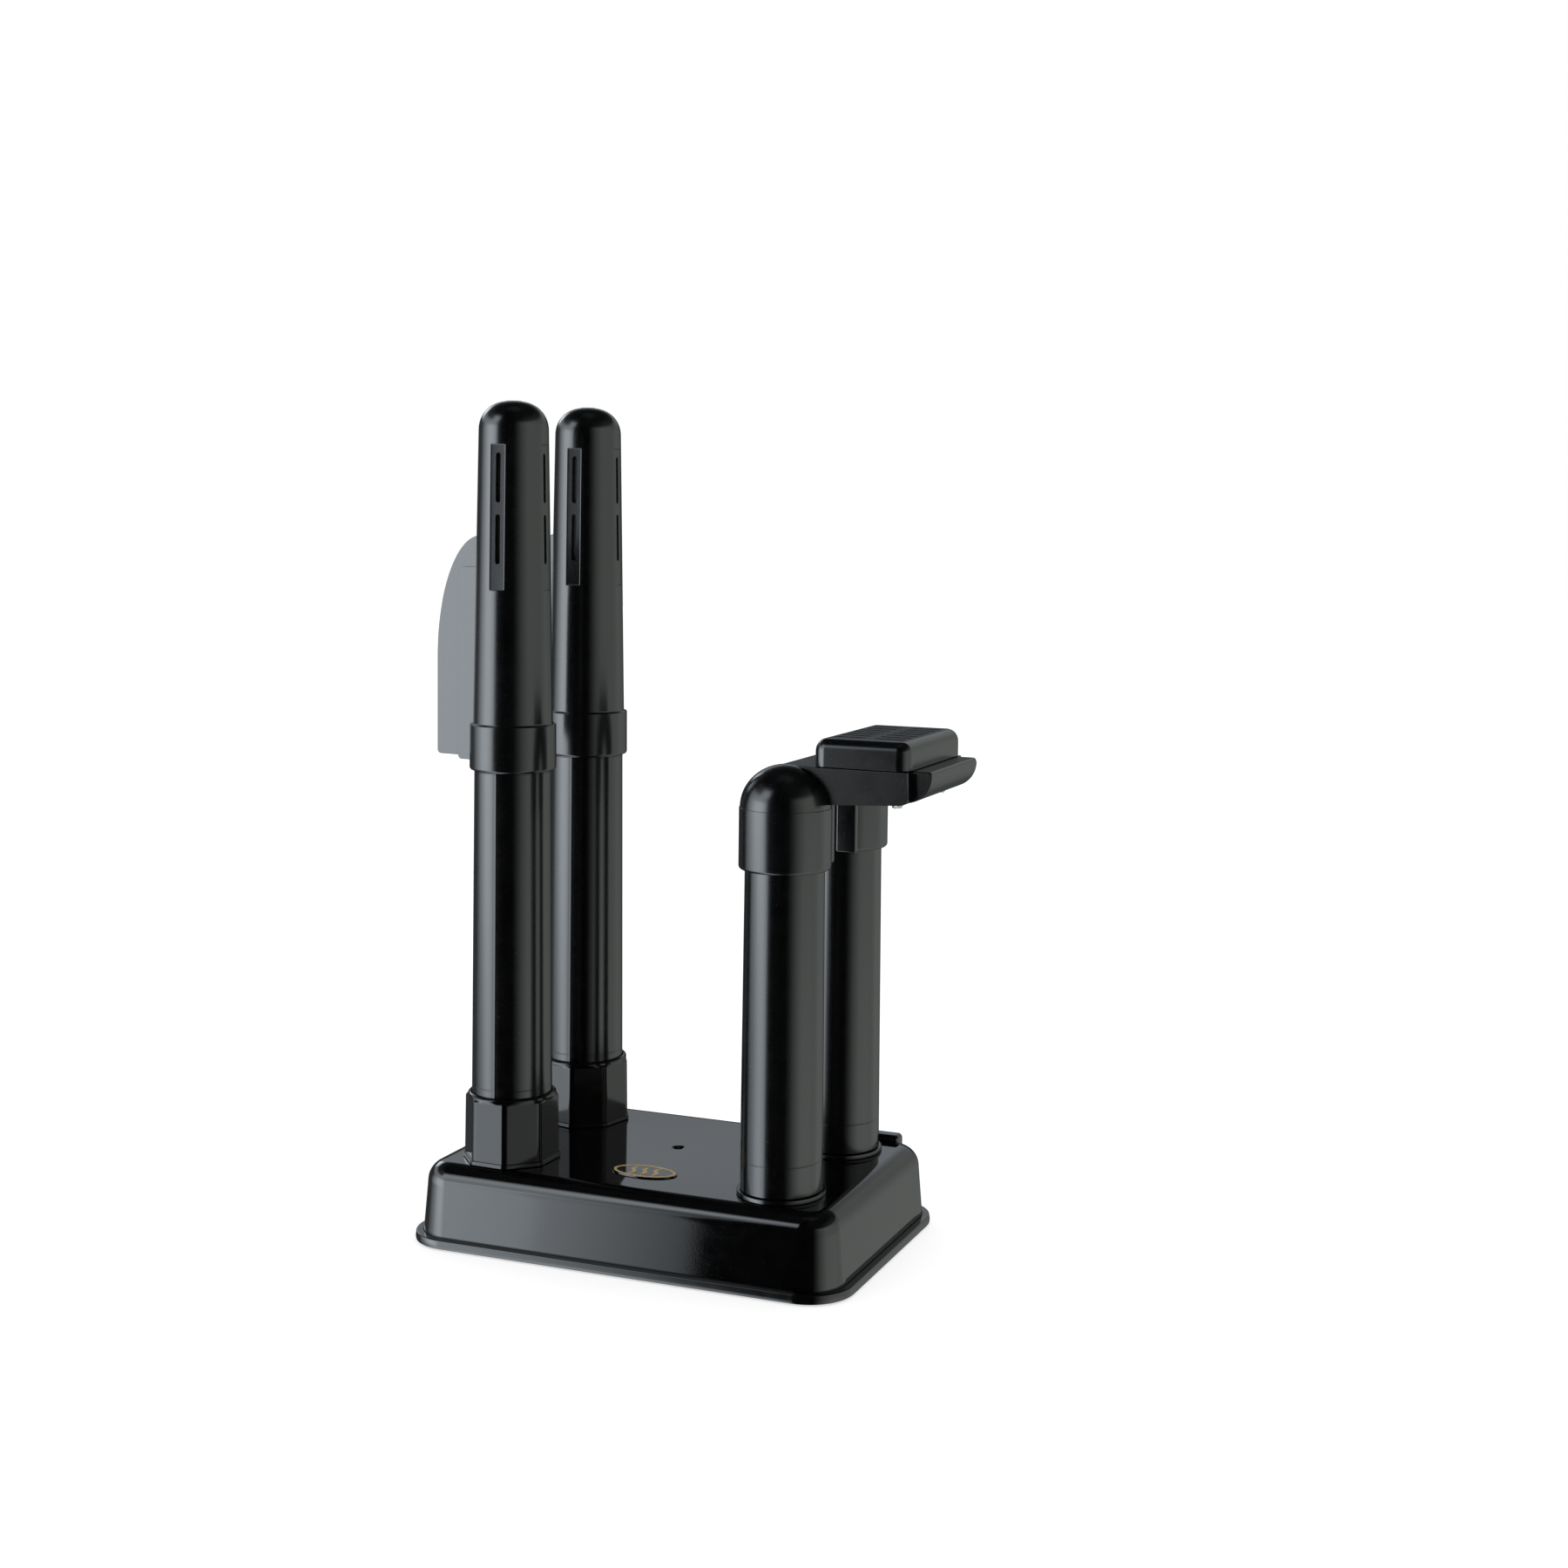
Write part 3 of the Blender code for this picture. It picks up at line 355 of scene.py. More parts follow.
def plastic(name, light, rough, spread, grain, grain_depth, dust, waviness=0.0, streaks=0.0, ior=1.5):
    """A moulded black plastic: uneven gloss, fine grain, faint drawing lines and a few specks of dust."""
    look = Look(name)
    broad = look.noise(14.0, 3.0)
    patchy = look.noise(95.0, 4.0, rough=0.6)
    speckle = look.noise(1500.0, 1.0)
    specks = look.span(speckle, 0.70, 0.78, smooth=True)
    colour = look.colours(look.span(patchy, 0.3, 0.7), BLACK, light)
    colour = look.colours(look.math("MULTIPLY", specks, dust), colour, (0.22, 0.22, 0.21))
    look.link(colour, look.shader.inputs["Base Color"])
    gloss = look.span(patchy, 0.25, 0.75, rough - spread, rough + spread)
    gloss = look.math("ADD", gloss, look.span(broad, 0.3, 0.7, -0.4 * spread, 0.4 * spread))
    if streaks:
        lines = look.noise(260.0, 2.0, (1.0, 1.0, 0.012))
        gloss = look.math("ADD", gloss, look.span(lines, 0.35, 0.7, -streaks, streaks))
        look.bump(lines, 0.05, 0.0002)
    look.link(look.math("ADD", gloss, look.math("MULTIPLY", specks, 0.15)), look.shader.inputs["Roughness"])
    if waviness:
        look.bump(look.noise(11.0, 1.0), waviness, 0.01)
    look.bump(look.noise(grain, 2.0), 0.35, grain_depth)
    look.set(IOR=ior)
    return look.material


def metal(name, colour, worn, rough, brushed=(1.0, 1.0, 1.0)):
    """Bare metal with fine lines, drawn out along one axis where it is brushed."""
    look = Look(name)
    lines = look.noise(420.0, 3.0, brushed)
    stain = look.noise(60.0, 4.0)
    look.link(look.colours(look.span(stain, 0.35, 0.75), colour, worn), look.shader.inputs["Base Color"])
    look.link(look.span(lines, 0.25, 0.75, rough - 0.1, rough + 0.14), look.shader.inputs["Roughness"])
    look.bump(lines, 0.2, 0.0001)
    look.set(Metallic=1.0)
    return look.material


def rubber(name):
    """Matte black rubber, greyed where it is worn."""
    look = Look(name)
    worn = look.noise(180.0, 4.0)
    look.link(look.colours(look.span(worn, 0.4, 0.7), (0.012, 0.012, 0.012), (0.04, 0.04, 0.038)),
              look.shader.inputs["Base Color"])
    look.link(look.span(worn, 0.3, 0.7, 0.62, 0.85), look.shader.inputs["Roughness"])
    look.bump(look.noise(2200.0, 2.0), 0.5, 0.0001)
    return look.material


def pale(name, colour, shade, rough, grain):
    """Nylon or ceramic: a pale body with a slightly mottled face."""
    look = Look(name)
    mottle = look.noise(150.0, 4.0)
    look.link(look.colours(look.span(mottle, 0.35, 0.7), colour, shade), look.shader.inputs["Base Color"])
    look.link(look.span(mottle, 0.3, 0.7, rough - 0.08, rough + 0.1), look.shader.inputs["Roughness"])
    look.bump(look.noise(grain, 2.0), 0.3, 0.0001)
    return look.material


def gold_print(name):
    """Foil print: warm, a little uneven and thin at places."""
    look = Look(name)
    thin = look.noise(420.0, 4.0, rough=0.65)
    look.link(look.colours(look.span(thin, 0.35, 0.68), (0.46, 0.31, 0.12), (0.62, 0.47, 0.22)),
              look.shader.inputs["Base Color"])
    look.link(look.span(thin, 0.3, 0.7, 0.34, 0.6), look.shader.inputs["Roughness"])
    look.bump(thin, 0.15, 0.0001)
    look.set(Metallic=0.35)
    return look.material


def make_looks():
    """The looks by material slot. Rings and duct stubs share the tubes' look."""
    return {
        "cover": plastic("cover_gloss_black", DARK_GREY, 0.04, 0.012, 900.0, 0.01 * MM, dust=0.03,
                         waviness=0.004),
        "pan": plastic("pan_gloss_black", DARK_GREY, 0.12, 0.02, 900.0, 0.01 * MM, dust=0.04),
        "tube": plastic("tube_satin_black", DARK_GREY, 0.19, 0.015, 1100.0, 0.02 * MM, dust=0.06,
                        streaks=0.015),
        "coupling": plastic("coupling_gloss_black", DARK_GREY, 0.11, 0.015, 900.0, 0.01 * MM, dust=0.05,
                            ior=1.4),
        "port": plastic("port_satin_black", PORT_GREY, 0.2, 0.015, 1300.0, 0.02 * MM, dust=0.05),
        "foot": rubber("foot_rubber"),
        "screw": metal("screw_zinc", (0.56, 0.56, 0.58), (0.4, 0.39, 0.38), 0.34),
        "cutout": metal("cutout_plate", (0.6, 0.6, 0.6), (0.44, 0.42, 0.4), 0.3),
        "reflector": metal("reflector_sheet", (0.74, 0.74, 0.75), (0.6, 0.58, 0.55), 0.32, (1.0, 0.03, 1.0)),
        "element": pale("element_ceramic", (0.78, 0.75, 0.67), (0.6, 0.55, 0.46), 0.6, 1400.0),
        "nylon": pale("terminal_nylon", (0.7, 0.69, 0.63), (0.6, 0.58, 0.52), 0.45, 1100.0),
        "badge": gold_print("badge_gold"),
    }


# ---------------------------------------------------------------- mesh helpers

def arc(start, end, steps):
    """The angles from start to end, given in degrees and returned in radians."""
    return [math.radians(start + (end - start) * i / steps) for i in range(steps + 1)]


def section(points, base=0.0):
    """Points of a section given in millimetres, their heights counted from base."""
    return [(reach * MM, base + height * MM) for reach, height in points]


def middle(node):
    """The middle of a node's box, as (x, y)."""
    low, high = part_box(node)
    return ((low.x + high.x) / 2.0, (low.y + high.y) / 2.0)


def half_sizes(node):
    """Half the length and half the width of a node's box."""
    low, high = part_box(node)
    return (high.x - low.x) / 2.0, (high.y - low.y) / 2.0


def polar(centre, reach, turn, height):
    """A point at a distance and a turn from the upright line at centre (x, y)."""
    return (centre[0] + reach * math.cos(turn), centre[1] + reach * math.sin(turn), height)


def finished(name, bm):
    """A mesh object at the origin with its faces out, smooth but for its sharp edges."""
    bmesh.ops.recalc_face_normals(bm, faces=bm.faces[:])
    mesh = bpy.data.meshes.new(name)
    bm.to_mesh(mesh)
    bm.free()
    mesh.shade_smooth()
    mesh.set_sharp_from_angle(angle=SMOOTH_UP_TO)
    piece = bpy.data.objects.new(name, mesh)
    bpy.context.scene.collection.objects.link(piece)
    return piece


def loft(name, loops, closed=False):
    """A solid through loops with equal counts: capped at both ends, or joined end to start."""
    bm = bmesh.new()
    rings = [[bm.verts.new(point) for point in loop] for loop in loops]
    pairs = list(zip(rings, rings[1:]))
    if closed:
        pairs.append((rings[-1], rings[0]))
    for low, high in pairs:
        for i, corner in enumerate(low):
            j = (i + 1) % len(low)
            bm.faces.new((corner, low[j], high[j], high[i]))
    if not closed:
        bm.faces.new(rings[0])
        bm.faces.new(rings[-1])
    return finished(name, bm)


def seam_turns(turns, seam):
    """Turns with a seam's own four in place of those near it, and how far the seam lifts each of its own."""
    half = math.radians(1.0)
    turns = [t for t in turns if abs(math.remainder(t - seam[0], 2.0 * math.pi)) > 1.3 * half]
    lift = {}
    for off, rise in ((-1.0, 0.0), (-0.35, 1.0), (0.35, 1.0), (1.0, 0.0)):
        turn = (seam[0] + off * half) % (2.0 * math.pi)
        turns.append(turn)
        lift[turn] = rise * seam[1]
    return sorted(turns), lift


def turned(name, profile, centre, sides=96, seam=None):
    """A turned solid at centre (x, y). A seam (angle, height) raises a thin line on the widest wall."""
    turns = [2.0 * math.pi * i / sides for i in range(sides)]
    lift = {}
    if seam:
        turns, lift = seam_turns(turns, seam)
    outer_wall = 0.93 * max(radius for radius, _ in profile)
    bm = bmesh.new()
    rows = []
    for radius, height in profile:
        if radius == 0.0:
            rows.append([bm.verts.new((centre[0], centre[1], height))] * len(turns))
            continue
        row = []
        for turn in turns:
            reach = radius + (lift.get(turn, 0.0) if radius > outer_wall else 0.0)
            row.append(bm.verts.new(polar(centre, reach, turn, height)))
        rows.append(row)
    pairs = list(zip(rows, rows[1:]))
    if profile[0][0] != 0.0:
        pairs.append((rows[-1], rows[0]))
    for low, high in pairs:
        for i in range(len(turns)):
            j = (i + 1) % len(turns)
            corners = dict.fromkeys((low[i], low[j], high[j], high[i]))
            bm.faces.new(list(corners))
    return finished(name, bm)


def rounded(bm, edges, bevel, steps, clamp):
    """Rounds edges in place."""
    bmesh.ops.bevel(bm, geom=edges, offset=bevel, segments=steps, profile=0.5, affect="EDGES",
                    clamp_overlap=clamp)


def block(name, low, high, bevel=0.0, steps=4, only=None):
    """A box between two corners, its edges rounded; only keeps the rounding to edges along one axis."""
    bm = bmesh.new()
    bmesh.ops.create_cube(bm, size=1.0)
    bmesh.ops.scale(bm, vec=[b - a for a, b in zip(low, high)], verts=bm.verts[:])
    bmesh.ops.translate(bm, vec=[(a + b) / 2.0 for a, b in zip(low, high)], verts=bm.verts[:])
    if bevel:
        edges = bm.edges[:]
        if only is not None:
            edges = [e for e in edges if abs((e.verts[0].co - e.verts[1].co)[only]) > 1e-6]
        rounded(bm, edges, bevel, steps, False)
    return finished(name, bm)


def prism(name, outline, low_y, high_y, bevel=0.0):
    """An outline of (x, z) points pushed from low_y to high_y, its two rims rounded."""
    bm = bmesh.new()
    rings = [[bm.verts.new((x, y, z)) for x, z in outline] for y in (low_y, high_y)]
    for i in range(len(outline)):
        j = (i + 1) % len(outline)
        bm.faces.new((rings[0][i], rings[0][j], rings[1][j], rings[1][i]))
    caps = [bm.faces.new(ring) for ring in rings]
    if bevel:
        rounded(bm, list({edge for cap in caps for edge in cap.edges}), bevel, 4, True)
    return finished(name, bm)


def settle(piece):
    """Replaces the mesh by what its modifiers make, welded and without slivers."""
    graph = bpy.context.evaluated_depsgraph_get()
    mesh = bpy.data.meshes.new_from_object(piece.evaluated_get(graph))
    piece.modifiers.clear()
    bm = bmesh.new()
    bm.from_mesh(mesh)
    bmesh.ops.remove_doubles(bm, verts=bm.verts[:], dist=1e-6)
    bmesh.ops.dissolve_degenerate(bm, edges=bm.edges[:], dist=1e-6)
    bm.to_mesh(mesh)
    bm.free()
    mesh.shade_smooth()
    mesh.set_sharp_from_angle(angle=SMOOTH_UP_TO)
    piece.data = mesh


def combined(piece, others, operation):
    """Joins the others to a piece or cuts them from it, and removes them."""
    for other in others:
        change = piece.modifiers.new(other.name, "BOOLEAN")
        change.operation = operation
        change.object = other
        change.solver = "EXACT"
    settle(piece)
    for other in others:
        bpy.data.objects.remove(other)


def placed(piece, body, look, nodes=()):
    """Gives a piece its look and body, and hides the CAD nodes it stands for."""
    piece.data.materials.clear()
    piece.data.materials.append(look)
    even = piece.modifiers.new("even_normals", "WEIGHTED_NORMAL")
    even.keep_sharp = True
    even.weight = 60
    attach(piece, body)
    if nodes:
        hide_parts(*nodes)


def rounded_rectangle(centre, half_x, half_y, corner, height, steps):
    """A level loop round a rectangle with round corners."""
    points = []
    for quarter, (sx, sy) in enumerate(((1, 1), (-1, 1), (-1, -1), (1, -1))):
        for turn in arc(90.0 * quarter, 90.0 * (quarter + 1), steps):
            x = sx * (half_x - corner) + corner * math.cos(turn)
            y = sy * (half_y - corner) + corner * math.sin(turn)
            points.append((centre[0] + x, centre[1] + y, height))
    return points


def oval(centre, half_x, half_y, height, steps=72):
    """A level oval loop."""
    turns = [2.0 * math.pi * i / steps for i in range(steps)]
    return [(centre[0] + half_x * math.cos(t), centre[1] + half_y * math.sin(t), height) for t in turns]


def spin(piece, turn, centre):
    """Turns a helper's mesh about the origin's upright line, then moves it to centre (x, y)."""
    move = Matrix.Translation((centre[0], centre[1], 0.0)) @ Matrix.Rotation(turn, 4, "Z")
    piece.data.transform(move)
    return piece


# ---------------------------------------------------------------- base

def tray_loops():
    """What turns an inset from the pan's rim and a height into a loop round the tray."""
    centre = middle("base_pan")
    half_x, half_y = half_sizes("base_pan")

    def loop(inset, height):
        corner = max(32.0 * MM - inset, 6.0 * MM)
        return rounded_rectangle(centre, half_x - inset, half_y - inset, corner, height, 14)

    return loop


def make_cover(looks):
    """The tray: drafted walls, a round shoulder, the hump over the cord's hole, and a dimple on top."""
    loop = tray_loops()
    bottom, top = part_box("base_cover")[0].z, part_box("badge")[0].z - SLIP
    gap, draft, edge, wall = 5.6 * MM, 3.0 * MM, 14.0 * MM, 2.6 * MM
    rise = top - edge - bottom

    def shoulder(inset, radius, steps):
        return [loop(inset + radius * (1.0 - math.cos(turn)), bottom + rise + radius * math.sin(turn))
                for turn in arc(0.0, 90.0, steps)[1:]]

    outside = [loop(gap + 0.3 * MM, bottom), loop(gap, bottom + 0.4 * MM)]
    outside += [loop(gap + draft * share, bottom + rise * share) for share in (0.33, 0.66, 1.0)]
    outside += shoulder(gap + draft, edge, 14)
    inside = [loop(gap + wall, bottom), loop(gap + draft + wall, bottom + rise)]
    inside += shoulder(gap + draft + wall, edge - wall, 4)
    cover = loft("cover", list(reversed(inside)) + outside)
    gland = middle("cord_gland")[0]
    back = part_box("base_pan")[1].y
    hump = block("hump", (gland - 20.0 * MM, back - 22.5 * MM, 44.0 * MM),
                 (gland + 23.0 * MM, back - 9.5 * MM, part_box("base_cover")[1].z), 3.4 * MM, 6)
    combined(cover, [hump], "UNION")
    centre = middle("base_pan")
    dip = section([(0.0, -2.1), (1.6, -2.0), (3.0, -1.5), (4.2, -0.5), (4.9, -0.08), (5.3, 0.3), (0.0, 0.3)],
                  top)
    dimple = turned("dimple", dip, (centre[0] - 4.0 * MM, centre[1] + 10.0 * MM), 40)
    half, gland_height = 5.2 * MM, 18.0 * MM
    hole = block("hole", (gland - half, back - 15.5 * MM, gland_height - half),
                 (gland + half, back + 4.5 * MM, gland_height + half), 1.2 * MM, 3)
    combined(cover, [dimple, hole], "DIFFERENCE")
    placed(cover, "base", looks["cover"], ["base_cover"])


def make_duct(name, looks):
    """The short pipe that a riser sits on, with a flange under the cover."""
    node = f"{name}_duct_stub"
    low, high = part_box(node)
    outer, bore, flange = 24.6 * MM, 22.4 * MM, half_sizes(node)[0]
    shelf = low.z + 2.9 * MM
    duct = turned(f"{name}_duct", [
        (bore, low.z), (flange, low.z), (flange, shelf), (outer, shelf), (outer, high.z - 1.0 * MM),
        (outer - 0.25 * MM, high.z - 0.3 * MM), (outer - 0.8 * MM, high.z),
        (bore + 0.5 * MM, high.z), (bore, high.z - 0.5 * MM),
    ], middle(node))
    placed(duct, "base", looks["tube"], [node])


def pan_slots():
    """Cutters for the air slots, a group of six under each pair of risers."""
    centre = middle("base_pan")
    group_x, pitch = 101.0 * MM, 14.0 * MM
    half_width, half_length = 1.75 * MM, 34.0 * MM
    cutters = []
    for side in (-1, 1):
        for row in range(6):
            x = centre[0] + side * group_x + (row - 2.5) * pitch
            cutters.append(block(f"slot{side}{row}", (x - half_width, centre[1] - half_length, 0.0),
                                 (x + half_width, centre[1] + half_length, 10.0 * MM), 1.7 * MM, 4, only=2))
    return cutters


def make_pan(looks):
    """The bottom pan with its flange, air slots, and holes for the feet and screws."""
    loop = tray_loops()
    low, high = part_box("base_pan")
    bottom, top = low.z, high.z
    ledge = 5.3 * MM
    pan = loft("tray", [loop(inset, height) for inset, height in (
        (ledge, 5.4 * MM), (ledge, top - 0.4 * MM), (ledge - 0.15 * MM, top - 0.1 * MM),
        (ledge - 0.45 * MM, top), (1.1 * MM, top), (0.75 * MM, top - 0.1 * MM), (0.5 * MM, top - 0.35 * MM),
        (0.35 * MM, top - 0.8 * MM), (0.0, 3.4 * MM), (0.0, 2.4 * MM), (0.25 * MM, bottom + 0.5 * MM),
        (0.9 * MM, bottom), (3.4 * MM, bottom), (3.8 * MM, bottom + 0.3 * MM), (4.6 * MM, 3.0 * MM),
    )])
    cutters = pan_slots()
    for name in CORNERS:
        for node, radius in ((f"{name}_base_screw", 2.1), (f"{name}_foot", 2.8)):
            hole = section([(0.0, 0.0), (radius, 0.0), (radius, 9.0), (0.0, 9.0)])
            cutters.append(turned(f"{node}_hole", hole, middle(node), 24))
    combined(pan, cutters, "DIFFERENCE")
    placed(pan, "base", looks["pan"], ["base_pan"])


def make_badge(looks):
    """A black oval plate with a gold ring and three plain waves of warm air."""
    low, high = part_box("badge")
    centre = middle("badge")
    half_x, half_y = half_sizes("badge")
    face = high.z - 0.15 * MM
    sunk = face - 0.05 * MM

    def ovals(steps):
        return [oval(centre, half_x - inset * MM, half_y - inset * MM, height) for inset, height in steps]

    plate = loft("badge_plate", ovals(((0.0, low.z - 0.2 * MM), (0.0, face - 0.45 * MM),
                                       (0.15, face - 0.12 * MM), (0.5, face))))
    placed(plate, "base", looks["cover"], ["badge"])
    ring = loft("badge_ring", ovals(((0.9, sunk), (0.9, high.z), (2.9, high.z), (2.9, sunk))), closed=True)
    placed(ring, "base", looks["badge"])
    for row in range(3):
        wave = make_wave(f"badge_wave_{row}", (centre[0] + (row - 1) * 8.4 * MM, centre[1]), sunk, high.z)
        placed(wave, "base", looks["badge"])


def make_wave(name, centre, low, high):
    """One upright wavy stroke with tapered ends."""
    length, swing, width, steps = 15.0 * MM, 1.7 * MM, 1.7 * MM, 32
    left, right = [], []
    for i in range(steps + 1):
        share = i / steps
        y = centre[1] + (share - 0.5) * length
        x = centre[0] + swing * math.sin(2.0 * math.pi * share)
        half = width * math.sin(math.pi * (0.06 + 0.88 * share)) ** 0.7
        left.append((x - half, y))
        right.append((x + half, y))
    outline = left + list(reversed(right))
    return loft(name, [[(x, y, z) for x, y in outline] for z in (low, high)])


# ---------------------------------------------------------------- risers

def make_seat_ring(name, looks):
    """The low ring round the foot of a right-hand riser."""
    node = f"{name}_seat_ring"
    low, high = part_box(node)
    outer, inner = half_sizes(node)[0], 25.1 * MM
    ring = turned(f"{name}_seat", [
        (inner, low.z), (outer - 0.2 * MM, low.z), (outer, low.z + 0.3 * MM),
        (outer - 0.1 * MM, high.z - 0.8 * MM), (outer - 0.35 * MM, high.z - 0.25 * MM),
        (outer - 0.9 * MM, high.z), (inner, high.z),
    ], middle(node))
    placed(ring, "base", looks["tube"], [node])


def octagon_ring(centre, radius, blend, height, turn, sides=160):
    """From a circle (blend 0) to an octagon with flats at that radius (blend 1), its corners rounded."""
    facet, corner_reach = math.radians(45.0), 1.066
    ring = []
    for i in range(sides):
        around = 2.0 * math.pi * i / sides
        off = (around + facet / 2.0) % facet - facet / 2.0
        reach = min(radius / math.cos(off), radius * corner_reach)
        ring.append(polar(centre, radius + blend * (reach - radius), around + turn, height))
    return ring


def make_coupling(name, looks):
    """The faceted sleeve at the foot of a left-hand riser: a foot rim, eight facets and a round collar."""
    node = f"{name}_coupling"
    low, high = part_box(node)
    flat, inner, socket = 30.6 * MM, 25.1 * MM, 28.4 * MM
    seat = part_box(f"{name}_tube")[0].z - SLIP
    foot, top = low.z, high.z
    steps = [(inner, 0.0, seat), (inner, 0.0, foot)]
    steps += [(flat + out * MM, 1.0, foot + up * MM) for out, up in (
        (1.0, 0.0), (1.35, 0.4), (1.2, 2.6), (0.95, 2.95), (0.35, 3.1), (0.35, 3.5))]
    steps += [(flat + out * MM, blend, top - down * MM) for out, blend, down in (
        (-0.15, 1.0, 4.0), (-0.1, 0.85, 3.5), (0.05, 0.5, 3.0), (0.2, 0.15, 2.5), (0.25, 0.0, 2.0),
        (0.1, 0.0, 1.2), (-0.4, 0.0, 0.4), (-1.1, 0.0, 0.0))]
    steps += [(socket + 0.35 * MM, 0.0, top), (socket, 0.0, top - 0.4 * MM), (socket, 0.0, seat)]
    centre, turn = middle(node), COUPLING_TURNS[name]
    collar = loft(f"{name}_collar", [octagon_ring(centre, *step, turn) for step in steps], closed=True)
    placed(collar, node, looks["coupling"], [node])


def make_tube(name, body, looks):
    """A tapered riser with a fine groove near each end and a mould line along its front."""
    node = f"{name}_tube"
    low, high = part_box(node)
    foot, top = low.z, high.z

    def radius(height):
        return 28.0 * MM - 1.5 * MM * (height - foot) / (top - foot)

    wall = 2.4 * MM
    wide, narrow = radius(foot), radius(top)
    profile = [(wide - wall, foot + 0.3 * MM), (wide - wall + 0.3 * MM, foot), (wide - 0.5 * MM, foot),
               (wide, foot + 0.5 * MM)]
    for line in (foot + 21.0 * MM, top - 21.0 * MM):
        for off, depth in ((-0.45, 0.0), (-0.2, 0.16), (0.2, 0.16), (0.45, 0.0)):
            height = line + off * MM
            profile.append((radius(height) - depth * MM, height))
    profile += [(narrow, top - 0.5 * MM), (narrow - 0.5 * MM, top), (narrow - wall + 0.3 * MM, top),
                (narrow - wall, top - 0.3 * MM)]
    seam = (math.radians(-90.0 + (4.0 if "left" in name else 15.0)), 0.09 * MM)
    tube = turned(f"{name}_riser", profile, middle(node), 128, seam)
    placed(tube, body, looks["tube"], [node])


# ---------------------------------------------------------------- glove ports

class Port:
    """The heights and radii of a glove port, from its box and its tube's."""

    def __init__(self, name):
        low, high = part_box(f"{name}_glove_port")
        self.centre = middle(f"{name}_tube")
        self.low, self.tip = low.z, high.z
        self.collar_top = low.z + 32.0 * MM
        self.shoulder = high.z - 20.0 * MM
        self.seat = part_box(f"{name}_tube")[1].z + SLIP
        self.collar = 29.9 * MM
        self.bore = 27.0 * MM
        self.wide, self.narrow = 27.5 * MM, 24.0 * MM
        self.fin_reach = (self.centre[0] - low.x) / abs(math.cos(FIN_ANGLE)) - 0.15 * MM

    def radius(self, height):
        share = (height - self.collar_top) / (self.shoulder - self.collar_top)
        return self.wide + (self.narrow - self.wide) * share


def port_profile(p):
    """Up the outside of the collar and the nozzle, over the round end with its hole, and down the inside."""
    wall, hole, squareness = 2.2 * MM, 5.0 * MM, 0.8
    foot, neck = p.radius(p.collar_top), p.collar_top
    profile = [(p.bore + 0.4 * MM, p.low)]
    profile += [(p.collar + out * MM, p.low + up * MM) for out, up in (
        (-1.5, 0.0), (-0.9, 0.25), (-0.3, 0.9), (0.0, 1.9))]
    profile += [(p.collar + out * MM, neck + up * MM) for out, up in (
        (-0.15, -0.7), (-0.45, -0.2), (-1.0, 0.0))]
    profile += [(foot + 0.5 * MM, neck), (foot + 0.1 * MM, neck + 0.5 * MM)]
    profile += [(p.radius(z), z) for z in (neck + 1.2 * MM, p.shoulder)]
    reach = p.tip - p.shoulder
    last = 90.0 * 13.0 / 14.5

    def round_end(turns, inset):
        """The end's curve, which stops at the hole in its middle."""
        width, height = p.narrow - inset, reach - inset
        return [(width * math.cos(turn) ** squareness, p.shoulder + height * math.sin(turn))
                for turn in turns]

    profile += round_end(arc(0.0, last, 13)[1:], 0.0)
    profile += [(hole, p.tip), (hole, p.tip - wall)]
    profile += round_end(arc(72.0, 24.0, 2), wall)
    profile += [(p.narrow - wall, p.shoulder), (foot - wall, neck), (24.2 * MM, p.seat),
                (p.bore, p.seat), (p.bore, p.low + 0.4 * MM)]
    return profile


def fin_corner(p, reach, bottom):
    """The root and the round lower corner of a fin plate, as (distance from the axis, height)."""
    corner = 3.0 * MM
    points = [(p.collar - 1.5 * MM, bottom)]
    for bend in arc(0.0, 90.0, 8):
        points.append((reach - corner + corner * math.sin(bend), bottom + corner - corner * math.cos(bend)))
    return points


def fin_root(p, top):
    """The inner edge of a fin plate, inside the wall of the nozzle and the collar."""
    inside = [(p.radius(z) - 1.7 * MM, z) for z in (top, p.collar_top - 4.0 * MM)]
    return inside + [(p.collar - 1.5 * MM, p.collar_top - 7.5 * MM)]


def fin_plate(name, p, outline, half, soft):
    """A fin plate in the upright plane through the port's axis, its outer edges rounded."""
    along_x, along_y = math.cos(FIN_ANGLE), math.sin(FIN_ANGLE)
    free_from = 31.0 * MM  # nearer the axis the plate is inside the nozzle and keeps its outline
    low = min(z for _, z in outline)
    high = max(z for _, z in outline)
    loops = []
    for off, inset in ((-half, soft), (-half + 0.3 * soft, 0.3 * soft), (-half + soft, 0.0),
                       (half - soft, 0.0), (half - 0.3 * soft, 0.3 * soft), (half, soft)):
        loop = []
        for reach, z in outline:
            out = reach - inset if reach > free_from else reach
            x = p.centre[0] + out * along_x - off * along_y
            y = p.centre[1] + out * along_y + off * along_x
            loop.append((x, y, min(max(z, low + inset), high - inset)))
        loops.append(loop)
    return loft(name, loops)


